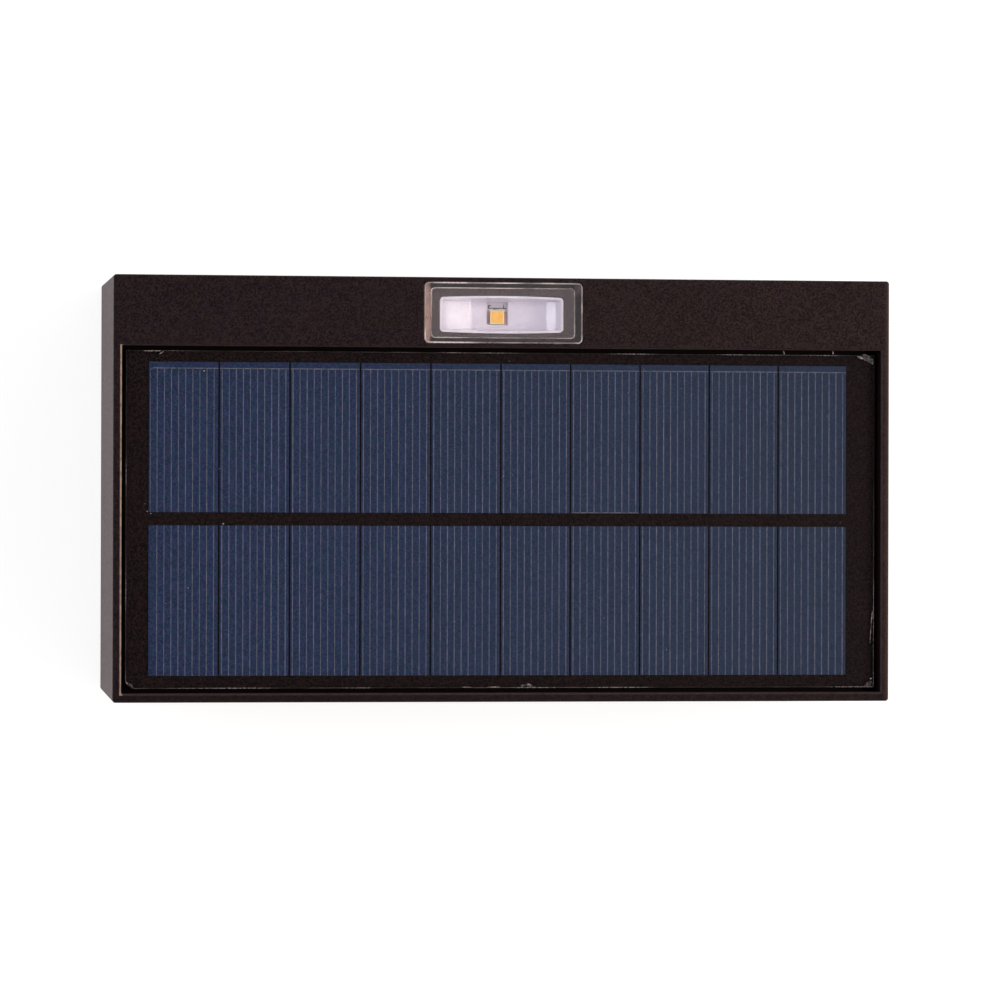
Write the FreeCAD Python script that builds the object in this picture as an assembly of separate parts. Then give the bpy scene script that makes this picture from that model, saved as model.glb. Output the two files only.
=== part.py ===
import FreeCAD, Part
import math
import os

# A solar fence light: a low drafted box that hangs on a fence by its flat back.
# Millimetres. The origin is the middle of the back face, +Y points into the fence and +Z is up.

V = FreeCAD.Vector

# ---- moulded body --------------------------------------------------------------------------------
body_length = 156.0              # along X, at the top face
body_depth = 84.4                # from the fence to the front, at the top face
body_height = 50.0
side_draft = 1.0                 # how far the left, right and front walls lean in from top to bottom
wall = 2.2
top_plate = 2.6
corner_round = 0.6
top_round = 0.5
foot_round = 1.8                 # lower edges, apart from the one on the fence

# ---- solar panel and its pocket ------------------------------------------------------------------
pocket_rim_side = 1.7
pocket_rim_front = 1.8
pocket_floor = 2.0
pocket_back_wall = 1.3
pocket_bevel = 0.25
panel_recess = 2.0               # top face down to the panel's clear sheet
panel_gap = 0.9                  # all round the panel, in its pocket
sheet_thickness = 0.6
panel_board_thickness = 1.2
panel_corner = 1.8               # rounding of the panel's front left corner; its others are square
tape_thickness = 0.6
tape_width = 6.0

cell_columns = 10
cell_border_x = 5.2              # board's edge to the cells
cell_border_y = 2.4
cell_thickness = 0.2
cell_gap = 0.35                  # between two cells of a row
cell_row_gap = 2.6
cell_fit = 0.03                  # round each cell, in the clear sheet
cells_shift_x = -0.6             # the cells lie a little off the board's middle
cells_shift_y = 0.15

# ---- light units: one shines up, its twin shines down --------------------------------------------
window_x = -0.4
up_window_back = 0.81            # of material between the upper recess and the fence
up_window_front = 0.7            # and between it and the panel's pocket
down_window_back = 3.38
lens_length = 31.86
lens_width = 12.2
lens_height = 3.4
lens_top = 1.3
lens_wall_x = 1.45
lens_wall_y = 1.07
lens_corner = 1.0
lens_inner_corner = 0.5
lens_bevel = 0.2
lens_fit = 0.12                  # round the lens, in its recess
ledge_thickness = 1.5            # what the lens stands on
ledge_margin = 1.4               # of material round the recess
reflector_shift_y = -0.25
mouth_length = 24.9              # outside of the reflector's mouth
mouth_width = 7.46
mouth_corner = 0.8
mouth_bulge = 0.28               # how far its long sides bow out between their ends
mouth_lip = 0.4
mouth_fit = 0.08                 # round the mouth, in the ledge
trough_slope_x = 1.3             # how far its walls lean in, from the mouth's outside to its floor
trough_slope_y = 0.98
trough_corner = 0.5
trough_depth = 9.7               # body's face down to the lowest line of the reflector's floor
trough_curve = 28.0              # radius of that floor, which rises to both ends
trough_floor = 0.6
flange_reach = 1.17              # past the mouth, front and back
flange_margin = 0.6              # past the posts, at each end
flange_thickness = 1.0
unit_post_gap = 0.25             # between a post and the mouth
unit_post_radius = 1.6
led_cutout_clearance = 0.15      # at the ends and the front of the package
led_cutout_behind = 1.95
unit_board_inset = 0.5           # in from the flange's outline
unit_board_thickness = 1.2
unit_screw_radius = 0.8
unit_screw_head_radius = 1.35
unit_screw_head = 0.9
unit_screw_length = 4.0
led_side = 2.8
led_height = 0.75
led_shift_y = -0.25
phosphor_side = 2.4
phosphor_depth = 0.25
terminal_length = 0.6            # what stands out of the package at each end, with its solder
terminal_width = 2.3
terminal_height = 0.3

# ---- bottom cover, its seal and its screws -------------------------------------------------------
cover_thickness = 3.0
seam_groove = 0.3                # shadow line round the housing's lower edge
seam_groove_height = 0.35
tongue_height = 2.5
tongue_thickness = 1.4
tongue_fit = 0.15                # between the tongue and the walls
gasket_inset = 0.5
gasket_width = 1.2
gasket_height = 0.7
boss_radius = 3.4
boss_bite = 0.2                  # how far a boss is sunk into the walls
boss_clearance = 0.3             # between a boss and the tongue
pad_height = 1.5                 # the cover's screw pads, above the seam
screw_radius = 1.45
screw_head_radius = 2.5
screw_head = 1.6
screw_head_recess = 2.4
screw_length = 13.0
screw_bite = 0.02                # between any screw and the hole it is driven into
screw_hole_clearance = 0.15
screw_head_clearance = 0.2
drive_length = 3.0               # cross in each cover screw's head
drive_width = 0.6
drive_depth = 0.7

# ---- keyholes for the two fence screws -----------------------------------------------------------
keyhole_spacing = 100.0
keyhole_entry_radius = 4.2
keyhole_slot_radius = 2.2
keyhole_seat_below_top = 15.5
keyhole_rise = 7.5               # entry's centre up to the screw's seat
keyhole_pocket_depth = 7.0       # behind the wall
keyhole_pocket_wall = 1.4
keyhole_head_room = 1.3          # round a screw head, in the pocket

# ---- control board -------------------------------------------------------------------------------
control_from_lug = 9.6           # board's edge to the battery's right lug
control_behind_battery = 16.0    # board's rear edge, behind the battery's axis
control_length = 36.0
control_width = 32.0
control_thickness = 1.6
control_standoff = 10.0          # above the cover
post_radius = 2.6
control_screw_inset = 3.5
control_screw_radius = 1.0
control_screw_head_radius = 1.9
control_screw_head = 1.2
control_screw_length = 7.0
chip_length = 5.0
chip_width = 4.0
chip_height = 1.6
chip_from_left = 14.0            # centre, from the board's left and rear edges
chip_from_rear = 12.0
inductor_side = 7.0
inductor_height = 4.5
inductor_round = 1.2
inductor_from_left = 25.0
inductor_from_rear = 12.0
connector_width = 6.0
connector_length = 5.0
connector_height = 5.0
connector_lead_height = 2.5
down_connector = 9.0             # centres, from the board's left edge
up_connector = 16.5
panel_connector = 25.0

# ---- rechargeable cell and its holder ------------------------------------------------------------
battery_radius = 9.1
battery_length = 63.5            # without its raised end
battery_nub_radius = 2.8
battery_nub = 1.5
battery_rest = 0.1               # between the cell and the holder's floor
holder_from_side = 8.3           # holder to the left wall and to the front wall
holder_from_front = 10.9
holder_wall = 1.8
holder_floor = 1.8
holder_side_height = 10.0
holder_side_gap = 0.4
holder_tape_thickness = 0.8
contact_thickness = 0.4
contact_width = 5.6
contact_below_stub = 3.1         # inner leaf's end, below the stub that meets the cell
lug_reach = 4.9                  # past the holder's end
lug_thickness = 0.8
contact_stub_radius = 2.6
negative_stub = 3.3
positive_stub = 2.3

# ---- push button in the underside ----------------------------------------------------------------
button_from_right = 9.0          # centre, from the control board's right and front edges
button_from_front = 12.0
button_radius = 4.0
button_sink = 0.4                # button's face, above the underside's plane
button_travel = 1.2
button_head = 3.4
button_flange_reach = 1.0
button_flange = 1.0
button_stem_radius = 1.5
button_fit = 0.08
button_dish_margin = 2.2
button_dish = 1.0
button_boss_wall = 2.2
button_boss = 2.5                # above the cover's inner face
flange_clearance = 0.3
seal_thickness = 1.0
seal_width = 1.0
seal_fit = 0.05
seal_from_dish = 0.9
switch_side = 6.2
switch_height = 4.5
plunger_past_stem = 0.2          # the plunger is this much wider than the stem, all round
plunger_length = 3.0
plunger_out = 0.8                # below the switch's body, at rest
plunger_room = 0.3               # left above the plunger when the button is pressed
spring_wire_radius = 0.2
spring_room = 0.9                # between the stem and the spring
spring_end_gap = 0.02
spring_turns = 5

# ---- leads ---------------------------------------------------------------------------------------
lead_radius = 0.6
lead_pitch = 2.5
lead_bend = 5.0
down_lead_bend = 4.0
battery_lead_bend = 2.4
up_lead_reach = 23.0             # straight into the connector
down_lead_reach = 17.0
up_lead_from_window = 7.0
down_lead_from_window = -9.5
battery_lead_side = 2.3          # between the long battery lead and the holder
battery_lead_turn = 5.0          # straight out of the connector
pad_length = 3.0
pad_width = 2.0
pad_thickness = 0.3
pad_from_tape = 1.2
wire_opening_margin = 2.6        # round the panel's leads, in the pocket's floor

# ---- levels and places worked out from the above -------------------------------------------------
top_z = body_height / 2
base_z = -body_height / 2
seam_z = base_z + cover_thickness
pad_top_z = seam_z + pad_height
band_under_z = top_z - top_plate
sheet_top_z = top_z - panel_recess
panel_board_top_z = sheet_top_z - sheet_thickness
panel_board_under_z = panel_board_top_z - panel_board_thickness
pocket_z = panel_board_under_z - tape_thickness
pocket_under_z = pocket_z - pocket_floor

panel_band = up_window_back + lens_width + 2 * lens_fit + up_window_front
up_window_y = -up_window_back - lens_fit - lens_width / 2
down_window_y = -down_window_back - lens_fit - lens_width / 2
pocket_length = body_length - 2 * pocket_rim_side
pocket_width = body_depth - panel_band - pocket_rim_front
pocket_y = -panel_band - pocket_width / 2
panel_length = pocket_length - 2 * panel_gap
panel_width = pocket_width - 2 * panel_gap
cell_pitch = (panel_length - 2 * cell_border_x + cell_gap) / cell_columns
cell_width = cell_pitch - cell_gap
cell_length = (panel_width - 2 * cell_border_y - cell_row_gap) / 2

ledge_depth = lens_height + ledge_thickness
unit_board_depth = trough_depth + trough_floor
unit_back_depth = unit_board_depth + unit_board_thickness
unit_post_x = mouth_length / 2 + unit_post_gap + unit_post_radius
flange_length = 2 * (unit_post_x + unit_post_radius + flange_margin)
flange_width = mouth_width + 2 * flange_reach
led_reach = led_side / 2 + terminal_length

holder_length = (2 * (holder_wall + contact_thickness) + negative_stub + battery_length + battery_nub
                 + positive_stub)
holder_width = 2 * (battery_radius + holder_side_gap + holder_wall)
holder_left = -body_length / 2 + wall + holder_from_side
holder_right = holder_left + holder_length
holder_y = -body_depth + wall + holder_from_front + holder_width / 2
holder_z = seam_z + holder_tape_thickness
holder_floor_z = holder_z + holder_floor
battery_z = holder_floor_z + battery_rest + battery_radius
battery_left = holder_left + holder_wall + contact_thickness + negative_stub
battery_right = battery_left + battery_length

control_left = holder_right + lug_reach + control_from_lug
control_right = control_left + control_length
control_rear = holder_y + control_behind_battery
control_front = control_rear - control_width
control_under_z = seam_z + control_standoff
control_top_z = control_under_z + control_thickness
lead_z = control_top_z + connector_lead_height
panel_lead_y = -panel_band - panel_gap - tape_width - pad_from_tape - pad_length / 2

button_x = control_right - button_from_right
button_y = control_front + button_from_front
button_flange_radius = button_radius + button_flange_reach
spring_coil_radius = button_stem_radius + spring_room + spring_wire_radius
plunger_radius = button_stem_radius + plunger_past_stem
dish_z = base_z + button_dish
button_face_z = base_z + button_sink
flange_z = button_face_z + button_head
flange_top_z = flange_z + button_flange
switch_z = control_under_z - switch_height
plunger_z = switch_z - plunger_out

keyhole_seat_z = top_z - keyhole_seat_below_top
keyhole_entry_z = keyhole_seat_z - keyhole_rise
keyhole_xs = (-keyhole_spacing / 2, keyhole_spacing / 2)


# ---- simple solids -------------------------------------------------------------------------------
def box(x0, x1, y0, y1, z0, z1):
    return Part.makeBox(x1 - x0, y1 - y0, z1 - z0, V(x0, y0, z0))


def block(x, y, length, width, z0, z1):
    return box(x - length / 2, x + length / 2, y - width / 2, y + width / 2, z0, z1)


def rod(x, y, radius, z0, z1):
    return Part.makeCylinder(radius, z1 - z0, V(x, y, z0))


def rod_along_x(x0, x1, y, z, radius):
    return Part.makeCylinder(radius, x1 - x0, V(x0, y, z), V(1, 0, 0))


def rod_along_y(x, y0, y1, z, radius):
    return Part.makeCylinder(radius, y1 - y0, V(x, y0, z), V(0, 1, 0))


def tube(x, y, inner, outer, z0, z1):
    return rod(x, y, outer, z0, z1).cut(rod(x, y, inner, z0, z1))


def upright_edges(solid):
    return [edge for edge in solid.Edges if abs(edge.tangentAt(edge.FirstParameter).z) > 0.9]


def edges_at(solid, z):
    return [edge for edge in solid.Edges if all(abs(point.Z - z) < 1e-6 for point in edge.Vertexes)]


def rounded_block(x, y, length, width, z0, z1, radius):
    solid = block(x, y, length, width, z0, z1)
    return solid.makeFillet(radius, upright_edges(solid))


def outline_of(solid, z):
    return [face for face in solid.Faces if abs(face.CenterOfMass.z - z) < 1e-6][0].OuterWire


def tapered(low, high):
    """A solid with flat sides between a lower and an upper outline, each given by its corners."""
    rims = [low[::-1], high]
    sides = [[low[i - 1], low[i], high[i], high[i - 1]] for i in range(len(low))]
    faces = [Part.Face(Part.makePolygon(corners + corners[:1])) for corners in rims + sides]
    return Part.Solid(Part.Shell(faces))


def rectangle(x0, x1, y0, y1, z):
    return [V(x0, y0, z), V(x1, y0, z), V(x1, y1, z), V(x0, y1, z)]


def ring(outer, inner):
    return outer.cut(inner)


def group(solids):
    return Part.makeCompound(solids)


# ---- the drafted outer form ----------------------------------------------------------------------
def half_length_at(z):
    return body_length / 2 - side_draft * (top_z - z) / body_height


def front_at(z):
    return -body_depth + side_draft * (top_z - z) / body_height


def outline_at(z, inset):
    x = half_length_at(z) - inset
    return rectangle(-x, x, front_at(z) + inset, -inset, z)


def drafted(inset, z0, z1):
    return tapered(outline_at(z0, inset), outline_at(z1, inset))


def outer_form():
    solid = drafted(0, base_z, top_z)
    foot = [edge for edge in edges_at(solid, base_z) if edge.CenterOfMass.y < -wall]
    solid = solid.makeFillet(foot_round, foot)
    solid = solid.makeFillet(corner_round, upright_edges(solid))
    return solid.makeFillet(top_round, edges_at(solid, top_z))


def slab(z0, z1):
    return box(-body_length, body_length, -2 * body_depth, body_depth, z0, z1)


def boss_places():
    inset = wall + boss_radius - boss_bite
    x = body_length / 2 - inset
    return [(-x, inset - body_depth), (x, inset - body_depth), (-x, -inset), (x, -inset)]


# ---- light units: drawn facing up with the body's face at z = 0, then set in place ---------------
def set_up(shape):
    placed = shape.copy()
    placed.translate(V(window_x, up_window_y, top_z))
    return placed


def set_down(shape):
    placed = shape.mirror(V(0, 0, 0), V(0, 0, 1))
    placed.translate(V(window_x, down_window_y, base_z))
    return placed


def barrel_block(length, width, z0, z1, radius):
    """The form of the reflector's mouth: a rounded block whose long sides bow out."""
    half = length / 2
    side = width / 2
    edges = []
    for way in (1, -1):
        bulged_y = reflector_shift_y + way * side
        end_y = bulged_y - way * mouth_bulge
        edges.append(Part.Arc(V(-half, end_y, z0), V(0, bulged_y, z0), V(half, end_y, z0)).toShape())
        edges.append(Part.makeLine(V(way * half, reflector_shift_y + side - mouth_bulge, z0),
                                   V(way * half, reflector_shift_y - side + mouth_bulge, z0)))
    outline = Part.Wire(Part.__sortEdges__(edges))
    solid = Part.Face(outline).extrude(V(0, 0, z1 - z0))
    return solid.makeFillet(radius, upright_edges(solid))


def unit_recess():
    length = lens_length + 2 * lens_fit
    width = lens_width + 2 * lens_fit
    recess = rounded_block(0, 0, length, width, -lens_height, 1, lens_corner + lens_fit)
    mouth = barrel_block(mouth_length + 2 * mouth_fit, mouth_width + 2 * mouth_fit, -ledge_depth - 1, 0,
                         mouth_corner + mouth_fit)
    return recess.fuse(mouth)


def window_block(rear, front, z0, z1):
    length = lens_length + 2 * (lens_fit + ledge_margin)
    return box(window_x - length / 2, window_x + length / 2, front, rear, z0, z1)


def unit_lens():
    lens = rounded_block(0, 0, lens_length, lens_width, -lens_height, 0, lens_corner)
    lens = lens.makeChamfer(lens_bevel, edges_at(lens, 0))
    hollow = rounded_block(0, 0, lens_length - 2 * lens_wall_x, lens_width - 2 * lens_wall_y,
                           -lens_height, -lens_top, lens_inner_corner)
    return lens.cut(hollow)


def unit_posts(radius, z0, z1):
    return [rod(x, reflector_shift_y, radius, z0, z1) for x in (-unit_post_x, unit_post_x)]


def unit_trough():
    """What the reflector's hollow takes away: sloped walls down to a floor that curves up at both ends."""
    mouth = barrel_block(mouth_length - 2 * mouth_lip, mouth_width - 2 * mouth_lip, -lens_height, 0,
                         mouth_corner - mouth_lip)
    floor = rounded_block(0, reflector_shift_y, mouth_length - 2 * trough_slope_x,
                          mouth_width - 2 * trough_slope_y, -trough_depth, 0, trough_corner)
    walls = Part.makeLoft([outline_of(floor, -trough_depth), outline_of(mouth, -lens_height)], True, True)
    return walls.common(rod_along_y(0, -mouth_width, mouth_width, trough_curve - trough_depth, trough_curve))


def unit_reflector():
    shape = barrel_block(mouth_length, mouth_width, -unit_board_depth, -lens_height, mouth_corner)
    flange = block(0, reflector_shift_y, flange_length, flange_width, -ledge_depth - flange_thickness,
                   -ledge_depth)
    shape = shape.fuse([flange] + unit_posts(unit_post_radius, -unit_board_depth, -ledge_depth))
    cutout = box(-led_reach - led_cutout_clearance, led_reach + led_cutout_clearance,
                 led_y() - led_side / 2 - led_cutout_clearance, led_y() + led_side / 2 + led_cutout_behind,
                 -unit_board_depth, trough_floor - trough_depth)
    screw_holes = unit_posts(unit_screw_radius + screw_bite, -unit_board_depth,
                             unit_screw_length - unit_back_depth)
    return shape.cut([unit_trough(), cutout] + screw_holes).removeSplitter()


def unit_board():
    board = block(0, reflector_shift_y, flange_length - 2 * unit_board_inset,
                  flange_width - 2 * unit_board_inset, -unit_back_depth, -unit_board_depth)
    return board.cut(unit_posts(unit_screw_radius + screw_bite, -unit_back_depth, -unit_board_depth))


def unit_screws():
    head_z = -unit_back_depth - unit_screw_head
    heads = unit_posts(unit_screw_head_radius, head_z, -unit_back_depth)
    shanks = unit_posts(unit_screw_radius, -unit_back_depth, unit_screw_length - unit_back_depth)
    return group([head.fuse(shank) for head, shank in zip(heads, shanks)])


def led_y():
    return reflector_shift_y + led_shift_y


def unit_led_package():
    top = led_height - unit_board_depth
    package = block(0, led_y(), led_side, led_side, -unit_board_depth, top)
    return package.cut(block(0, led_y(), phosphor_side, phosphor_side, top - phosphor_depth, top))


def unit_led_phosphor():
    top = led_height - unit_board_depth
    return block(0, led_y(), phosphor_side, phosphor_side, top - phosphor_depth, top)


def unit_led_terminals():
    x = (led_side + terminal_length) / 2
    top = terminal_height - unit_board_depth
    return group([block(side * x, led_y(), terminal_length, terminal_width, -unit_board_depth, top)
                  for side in (-1, 1)])


# ---- housing -------------------------------------------------------------------------------------
def keyhole_opening(x):
    entry = rod_along_y(x, -wall, 0, keyhole_entry_z, keyhole_entry_radius)
    seat = rod_along_y(x, -wall, 0, keyhole_seat_z, keyhole_slot_radius)
    slot = box(x - keyhole_slot_radius, x + keyhole_slot_radius, -wall, 0, keyhole_entry_z, keyhole_seat_z)
    return entry.fuse([seat, slot])


def keyhole_pocket(x, spare):
    half = keyhole_entry_radius + keyhole_head_room + spare
    rear = -wall
    return box(x - half, x + half, rear - keyhole_pocket_depth - spare, rear,
               keyhole_entry_z - half, keyhole_seat_z + half)


def panel_lead_xs():
    x = control_left + panel_connector
    return x - lead_pitch / 2, x + lead_pitch / 2


def wire_opening():
    red_x, black_x = panel_lead_xs()
    return box(red_x - wire_opening_margin, black_x + wire_opening_margin, panel_lead_y - wire_opening_margin,
               panel_lead_y + wire_opening_margin, pocket_under_z, pocket_z)


def panel_pocket():
    y0 = pocket_y - pocket_width / 2
    y1 = pocket_y + pocket_width / 2
    half = pocket_length / 2
    bevel = tapered(rectangle(-half, half, y0, y1, top_z - pocket_bevel),
                    rectangle(-half - pocket_bevel, half + pocket_bevel, y0 - pocket_bevel, y1 + pocket_bevel,
                              top_z))
    return box(-half, half, y0, y1, pocket_z, top_z).fuse(bevel)


def make_housing():
    shape = outer_form().common(slab(seam_z, top_z + 1))
    inner_half = half_length_at(pocket_under_z) - wall
    band_front = -panel_band + pocket_back_wall
    hollow_under_band = box(-inner_half, inner_half, band_front, -wall, pocket_under_z, band_under_z)
    shape = shape.cut([drafted(wall, seam_z, pocket_under_z), hollow_under_band])
    additions = [window_block(-wall, band_front, top_z - ledge_depth, band_under_z)]
    for x, y in boss_places():
        boss_top_z = band_under_z if y > band_front else pocket_under_z
        additions.append(rod(x, y, boss_radius, pad_top_z, boss_top_z))
    additions += [keyhole_pocket(x, keyhole_pocket_wall) for x in keyhole_xs]
    shape = shape.fuse(additions)
    cuts = [panel_pocket(), set_up(unit_recess()), wire_opening()]
    cuts.append(ring(slab(seam_z, seam_z + seam_groove_height),
                     drafted(seam_groove, seam_z, seam_z + seam_groove_height)))
    cuts += [keyhole_pocket(x, 0) for x in keyhole_xs]
    cuts += [keyhole_opening(x) for x in keyhole_xs]
    pilot_top_z = base_z + screw_head_recess + screw_length
    cuts += [rod(x, y, screw_radius + screw_bite, pad_top_z, pilot_top_z) for x, y in boss_places()]
    return shape.cut(cuts).removeSplitter()


# ---- solar panel ---------------------------------------------------------------------------------
def cell_block(column, row, spare):
    x = cells_shift_x + (column - (cell_columns - 1) / 2) * cell_pitch
    side = 1 if row == "rear" else -1
    y = pocket_y + cells_shift_y + side * (cell_length + cell_row_gap) / 2
    return block(x, y, cell_width + 2 * spare, cell_length + 2 * spare,
                 panel_board_top_z, panel_board_top_z + cell_thickness)


def panel_block(z0, z1):
    shape = block(0, pocket_y, panel_length, panel_width, z0, z1)
    corner = [edge for edge in upright_edges(shape)
              if edge.CenterOfMass.x < 0 and edge.CenterOfMass.y < pocket_y]
    return shape.makeFillet(panel_corner, corner)


def make_panel_sheet():
    sheet = panel_block(panel_board_top_z, sheet_top_z)
    return sheet.cut([cell_block(column, row, cell_fit) for row in ("rear", "front")
                      for column in range(cell_columns)])


def make_panel_tape():
    inner = block(0, pocket_y, panel_length - 2 * tape_width, panel_width - 2 * tape_width,
                  pocket_z, panel_board_under_z)
    return ring(panel_block(pocket_z, panel_board_under_z), inner)


def make_panel_pads():
    return group([block(x, panel_lead_y, pad_width, pad_length, panel_board_under_z - pad_thickness,
                        panel_board_under_z) for x in panel_lead_xs()])


def save_panel():
    save("panel_tape", make_panel_tape())
    save("panel_board", panel_block(panel_board_under_z, panel_board_top_z))
    save("panel_pads", make_panel_pads())
    save("panel_sheet", make_panel_sheet())
    for row in ("rear", "front"):
        for column in range(cell_columns):
            save(f"cell_{row}_{column + 1:02d}", cell_block(column, row, 0))


# ---- bottom cover, gasket, screws ----------------------------------------------------------------
def gasket_form(z0, z1):
    return ring(drafted(gasket_inset, z0, z1), drafted(gasket_inset + gasket_width, z0, z1))


def control_post_places():
    xs = (control_left + control_screw_inset, control_right - control_screw_inset)
    ys = (control_rear - control_screw_inset, control_front + control_screw_inset)
    return [(x, y) for x in xs for y in ys]


def make_tongue():
    outside = wall + tongue_fit
    tongue = ring(drafted(outside, seam_z, seam_z + tongue_height),
                  drafted(outside + tongue_thickness, seam_z, seam_z + tongue_height))
    clear = [rod(x, y, boss_radius + boss_clearance, pad_top_z, seam_z + tongue_height + 1)
             for x, y in boss_places()]
    return tongue.cut(clear)


def button_cuts():
    return [
        rod(button_x, button_y, button_radius + button_dish_margin, base_z, dish_z),
        rod(button_x, button_y, button_radius + button_fit, base_z, flange_z),
        rod(button_x, button_y, button_radius + seal_width, dish_z + seal_from_dish,
            dish_z + seal_from_dish + seal_thickness),
        rod(button_x, button_y, button_flange_radius + flange_clearance, flange_z, seam_z + button_boss),
    ]


def make_bottom_cover():
    shape = outer_form().common(slab(base_z - 1, seam_z))
    inside = drafted(wall + tongue_fit, seam_z, pad_top_z)
    pads = [rod(x, y, boss_radius, seam_z, pad_top_z).common(inside) for x, y in boss_places()]
    posts = [rod(x, y, post_radius, seam_z, control_under_z) for x, y in control_post_places()]
    window_half = lens_width / 2 + lens_fit + ledge_margin
    lens_seat = window_block(-wall - tongue_fit, down_window_y - window_half, seam_z, base_z + ledge_depth)
    button_ring = rod(button_x, button_y, button_flange_radius + flange_clearance + button_boss_wall, seam_z,
                      seam_z + button_boss)
    shape = shape.fuse([make_tongue(), lens_seat, button_ring] + pads + posts)
    cuts = [gasket_form(seam_z - gasket_height, seam_z), set_down(unit_recess())] + button_cuts()
    for x, y in boss_places():
        cuts.append(rod(x, y, screw_radius + screw_hole_clearance, base_z, pad_top_z))
        cuts.append(rod(x, y, screw_head_radius + screw_head_clearance, base_z, base_z + screw_head_recess))
    pilot_z = control_top_z - control_screw_length
    cuts += [rod(x, y, control_screw_radius + screw_bite, pilot_z, control_under_z)
             for x, y in control_post_places()]
    return shape.cut(cuts).removeSplitter()


def cover_screw(x, y):
    head_z = base_z + screw_head_recess - screw_head
    seat_z = base_z + screw_head_recess
    screw = rod(x, y, screw_head_radius, head_z, seat_z)
    screw = screw.fuse(rod(x, y, screw_radius, seat_z, seat_z + screw_length))
    return screw.cut([block(x, y, drive_length, drive_width, head_z, head_z + drive_depth),
                      block(x, y, drive_width, drive_length, head_z, head_z + drive_depth)])


# ---- control board -------------------------------------------------------------------------------
def make_control_board():
    board = box(control_left, control_right, control_front, control_rear, control_under_z, control_top_z)
    return board.cut([rod(x, y, control_screw_radius + screw_bite, control_under_z, control_top_z)
                      for x, y in control_post_places()])


def control_screw(x, y):
    head = rod(x, y, control_screw_head_radius, control_top_z, control_top_z + control_screw_head)
    return head.fuse(rod(x, y, control_screw_radius, control_top_z - control_screw_length, control_top_z))


def make_connectors():
    z1 = control_top_z + connector_height
    solids = [box(control_left + x - connector_width / 2, control_left + x + connector_width / 2,
                  control_rear - connector_length, control_rear, control_top_z, z1)
              for x in (down_connector, up_connector, panel_connector)]
    solids.append(box(control_left, control_left + connector_length, holder_y - connector_width / 2,
                      holder_y + connector_width / 2, control_top_z, z1))
    return group(solids)


def save_control():
    save("control_board", make_control_board())
    save("board_screws", group([control_screw(x, y) for x, y in control_post_places()]))
    save("control_chip", block(control_left + chip_from_left, control_rear - chip_from_rear, chip_length,
                               chip_width, control_top_z, control_top_z + chip_height))
    save("power_inductor", rounded_block(control_left + inductor_from_left, control_rear - inductor_from_rear,
                                         inductor_side, inductor_side, control_top_z,
                                         control_top_z + inductor_height, inductor_round))
    save("board_connectors", make_connectors())


# ---- battery -------------------------------------------------------------------------------------
def make_battery_cell():
    cell = rod_along_x(battery_left, battery_right, holder_y, battery_z, battery_radius)
    return cell.fuse(rod_along_x(battery_right, battery_right + battery_nub, holder_y, battery_z,
                                 battery_nub_radius))


def make_battery_holder():
    half = holder_width / 2
    side_top_z = holder_floor_z + holder_side_height
    shape = box(holder_left, holder_right, holder_y - half, holder_y + half, holder_z, side_top_z)
    hollow = box(holder_left + holder_wall, holder_right - holder_wall, holder_y - half + holder_wall,
                 holder_y + half - holder_wall, holder_floor_z, side_top_z)
    shape = shape.cut(hollow)
    end_top_z = lead_z - lug_thickness / 2
    ends = [box(x, x + holder_wall, holder_y - contact_width, holder_y + contact_width, holder_z, end_top_z)
            for x in (holder_left, holder_right - holder_wall)]
    return shape.fuse(ends).removeSplitter()


def contact_strip(side):
    """The strip over an end wall, an inner leaf and a lug outside. side is -1 at the left, 1 at the right."""
    inner_x = holder_left + holder_wall if side < 0 else holder_right - holder_wall
    outer_x = holder_left - lug_reach if side < 0 else holder_right + lug_reach
    leaf_x = inner_x - side * contact_thickness
    y0 = holder_y - contact_width / 2
    y1 = holder_y + contact_width / 2
    z0 = lead_z - lug_thickness / 2
    lug = box(min(leaf_x, outer_x), max(leaf_x, outer_x), y0, y1, z0, z0 + lug_thickness)
    leaf = box(min(leaf_x, inner_x), max(leaf_x, inner_x), y0, y1,
               battery_z - contact_stub_radius - contact_below_stub, z0)
    return lug.fuse(leaf)


def make_contact(side):
    stub_end = battery_left if side < 0 else battery_right + battery_nub
    stub_start = stub_end + side * (negative_stub if side < 0 else positive_stub)
    stub = rod_along_x(min(stub_start, stub_end), max(stub_start, stub_end), holder_y, battery_z,
                       contact_stub_radius)
    return contact_strip(side).fuse(stub).removeSplitter()


def save_battery():
    save("battery_cell", make_battery_cell())
    save("battery_holder", make_battery_holder())
    half = holder_width / 2
    save("holder_tape", box(holder_left, holder_right, holder_y - half, holder_y + half, seam_z, holder_z))
    save("battery_contact_negative", make_contact(-1))
    save("battery_contact_positive", make_contact(1))


# ---- push button ---------------------------------------------------------------------------------
def make_power_button():
    head = rod(button_x, button_y, button_radius, button_face_z, flange_z)
    flange = rod(button_x, button_y, button_flange_radius, flange_z, flange_top_z)
    stem = rod(button_x, button_y, button_stem_radius, flange_top_z, plunger_z)
    return head.fuse([flange, stem]).removeSplitter()


def make_button_spring():
    low_z = flange_top_z + spring_wire_radius + spring_end_gap
    high_z = switch_z - spring_wire_radius - spring_end_gap
    helix = Part.makeHelix((high_z - low_z) / spring_turns, high_z - low_z, spring_coil_radius)
    wire = Part.Wire(Part.Circle(V(spring_coil_radius, 0, 0), V(0, 1, 0), spring_wire_radius).toShape())
    spring = Part.Wire(helix.Edges).makePipeShell([wire], True, True)
    spring.translate(V(button_x, button_y, low_z))
    return spring


def make_switch_body():
    body = block(button_x, button_y, switch_side, switch_side, switch_z, control_under_z)
    hole_top_z = plunger_z + plunger_length + button_travel + plunger_room
    return body.cut(rod(button_x, button_y, plunger_radius + button_fit, switch_z, hole_top_z))


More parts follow.
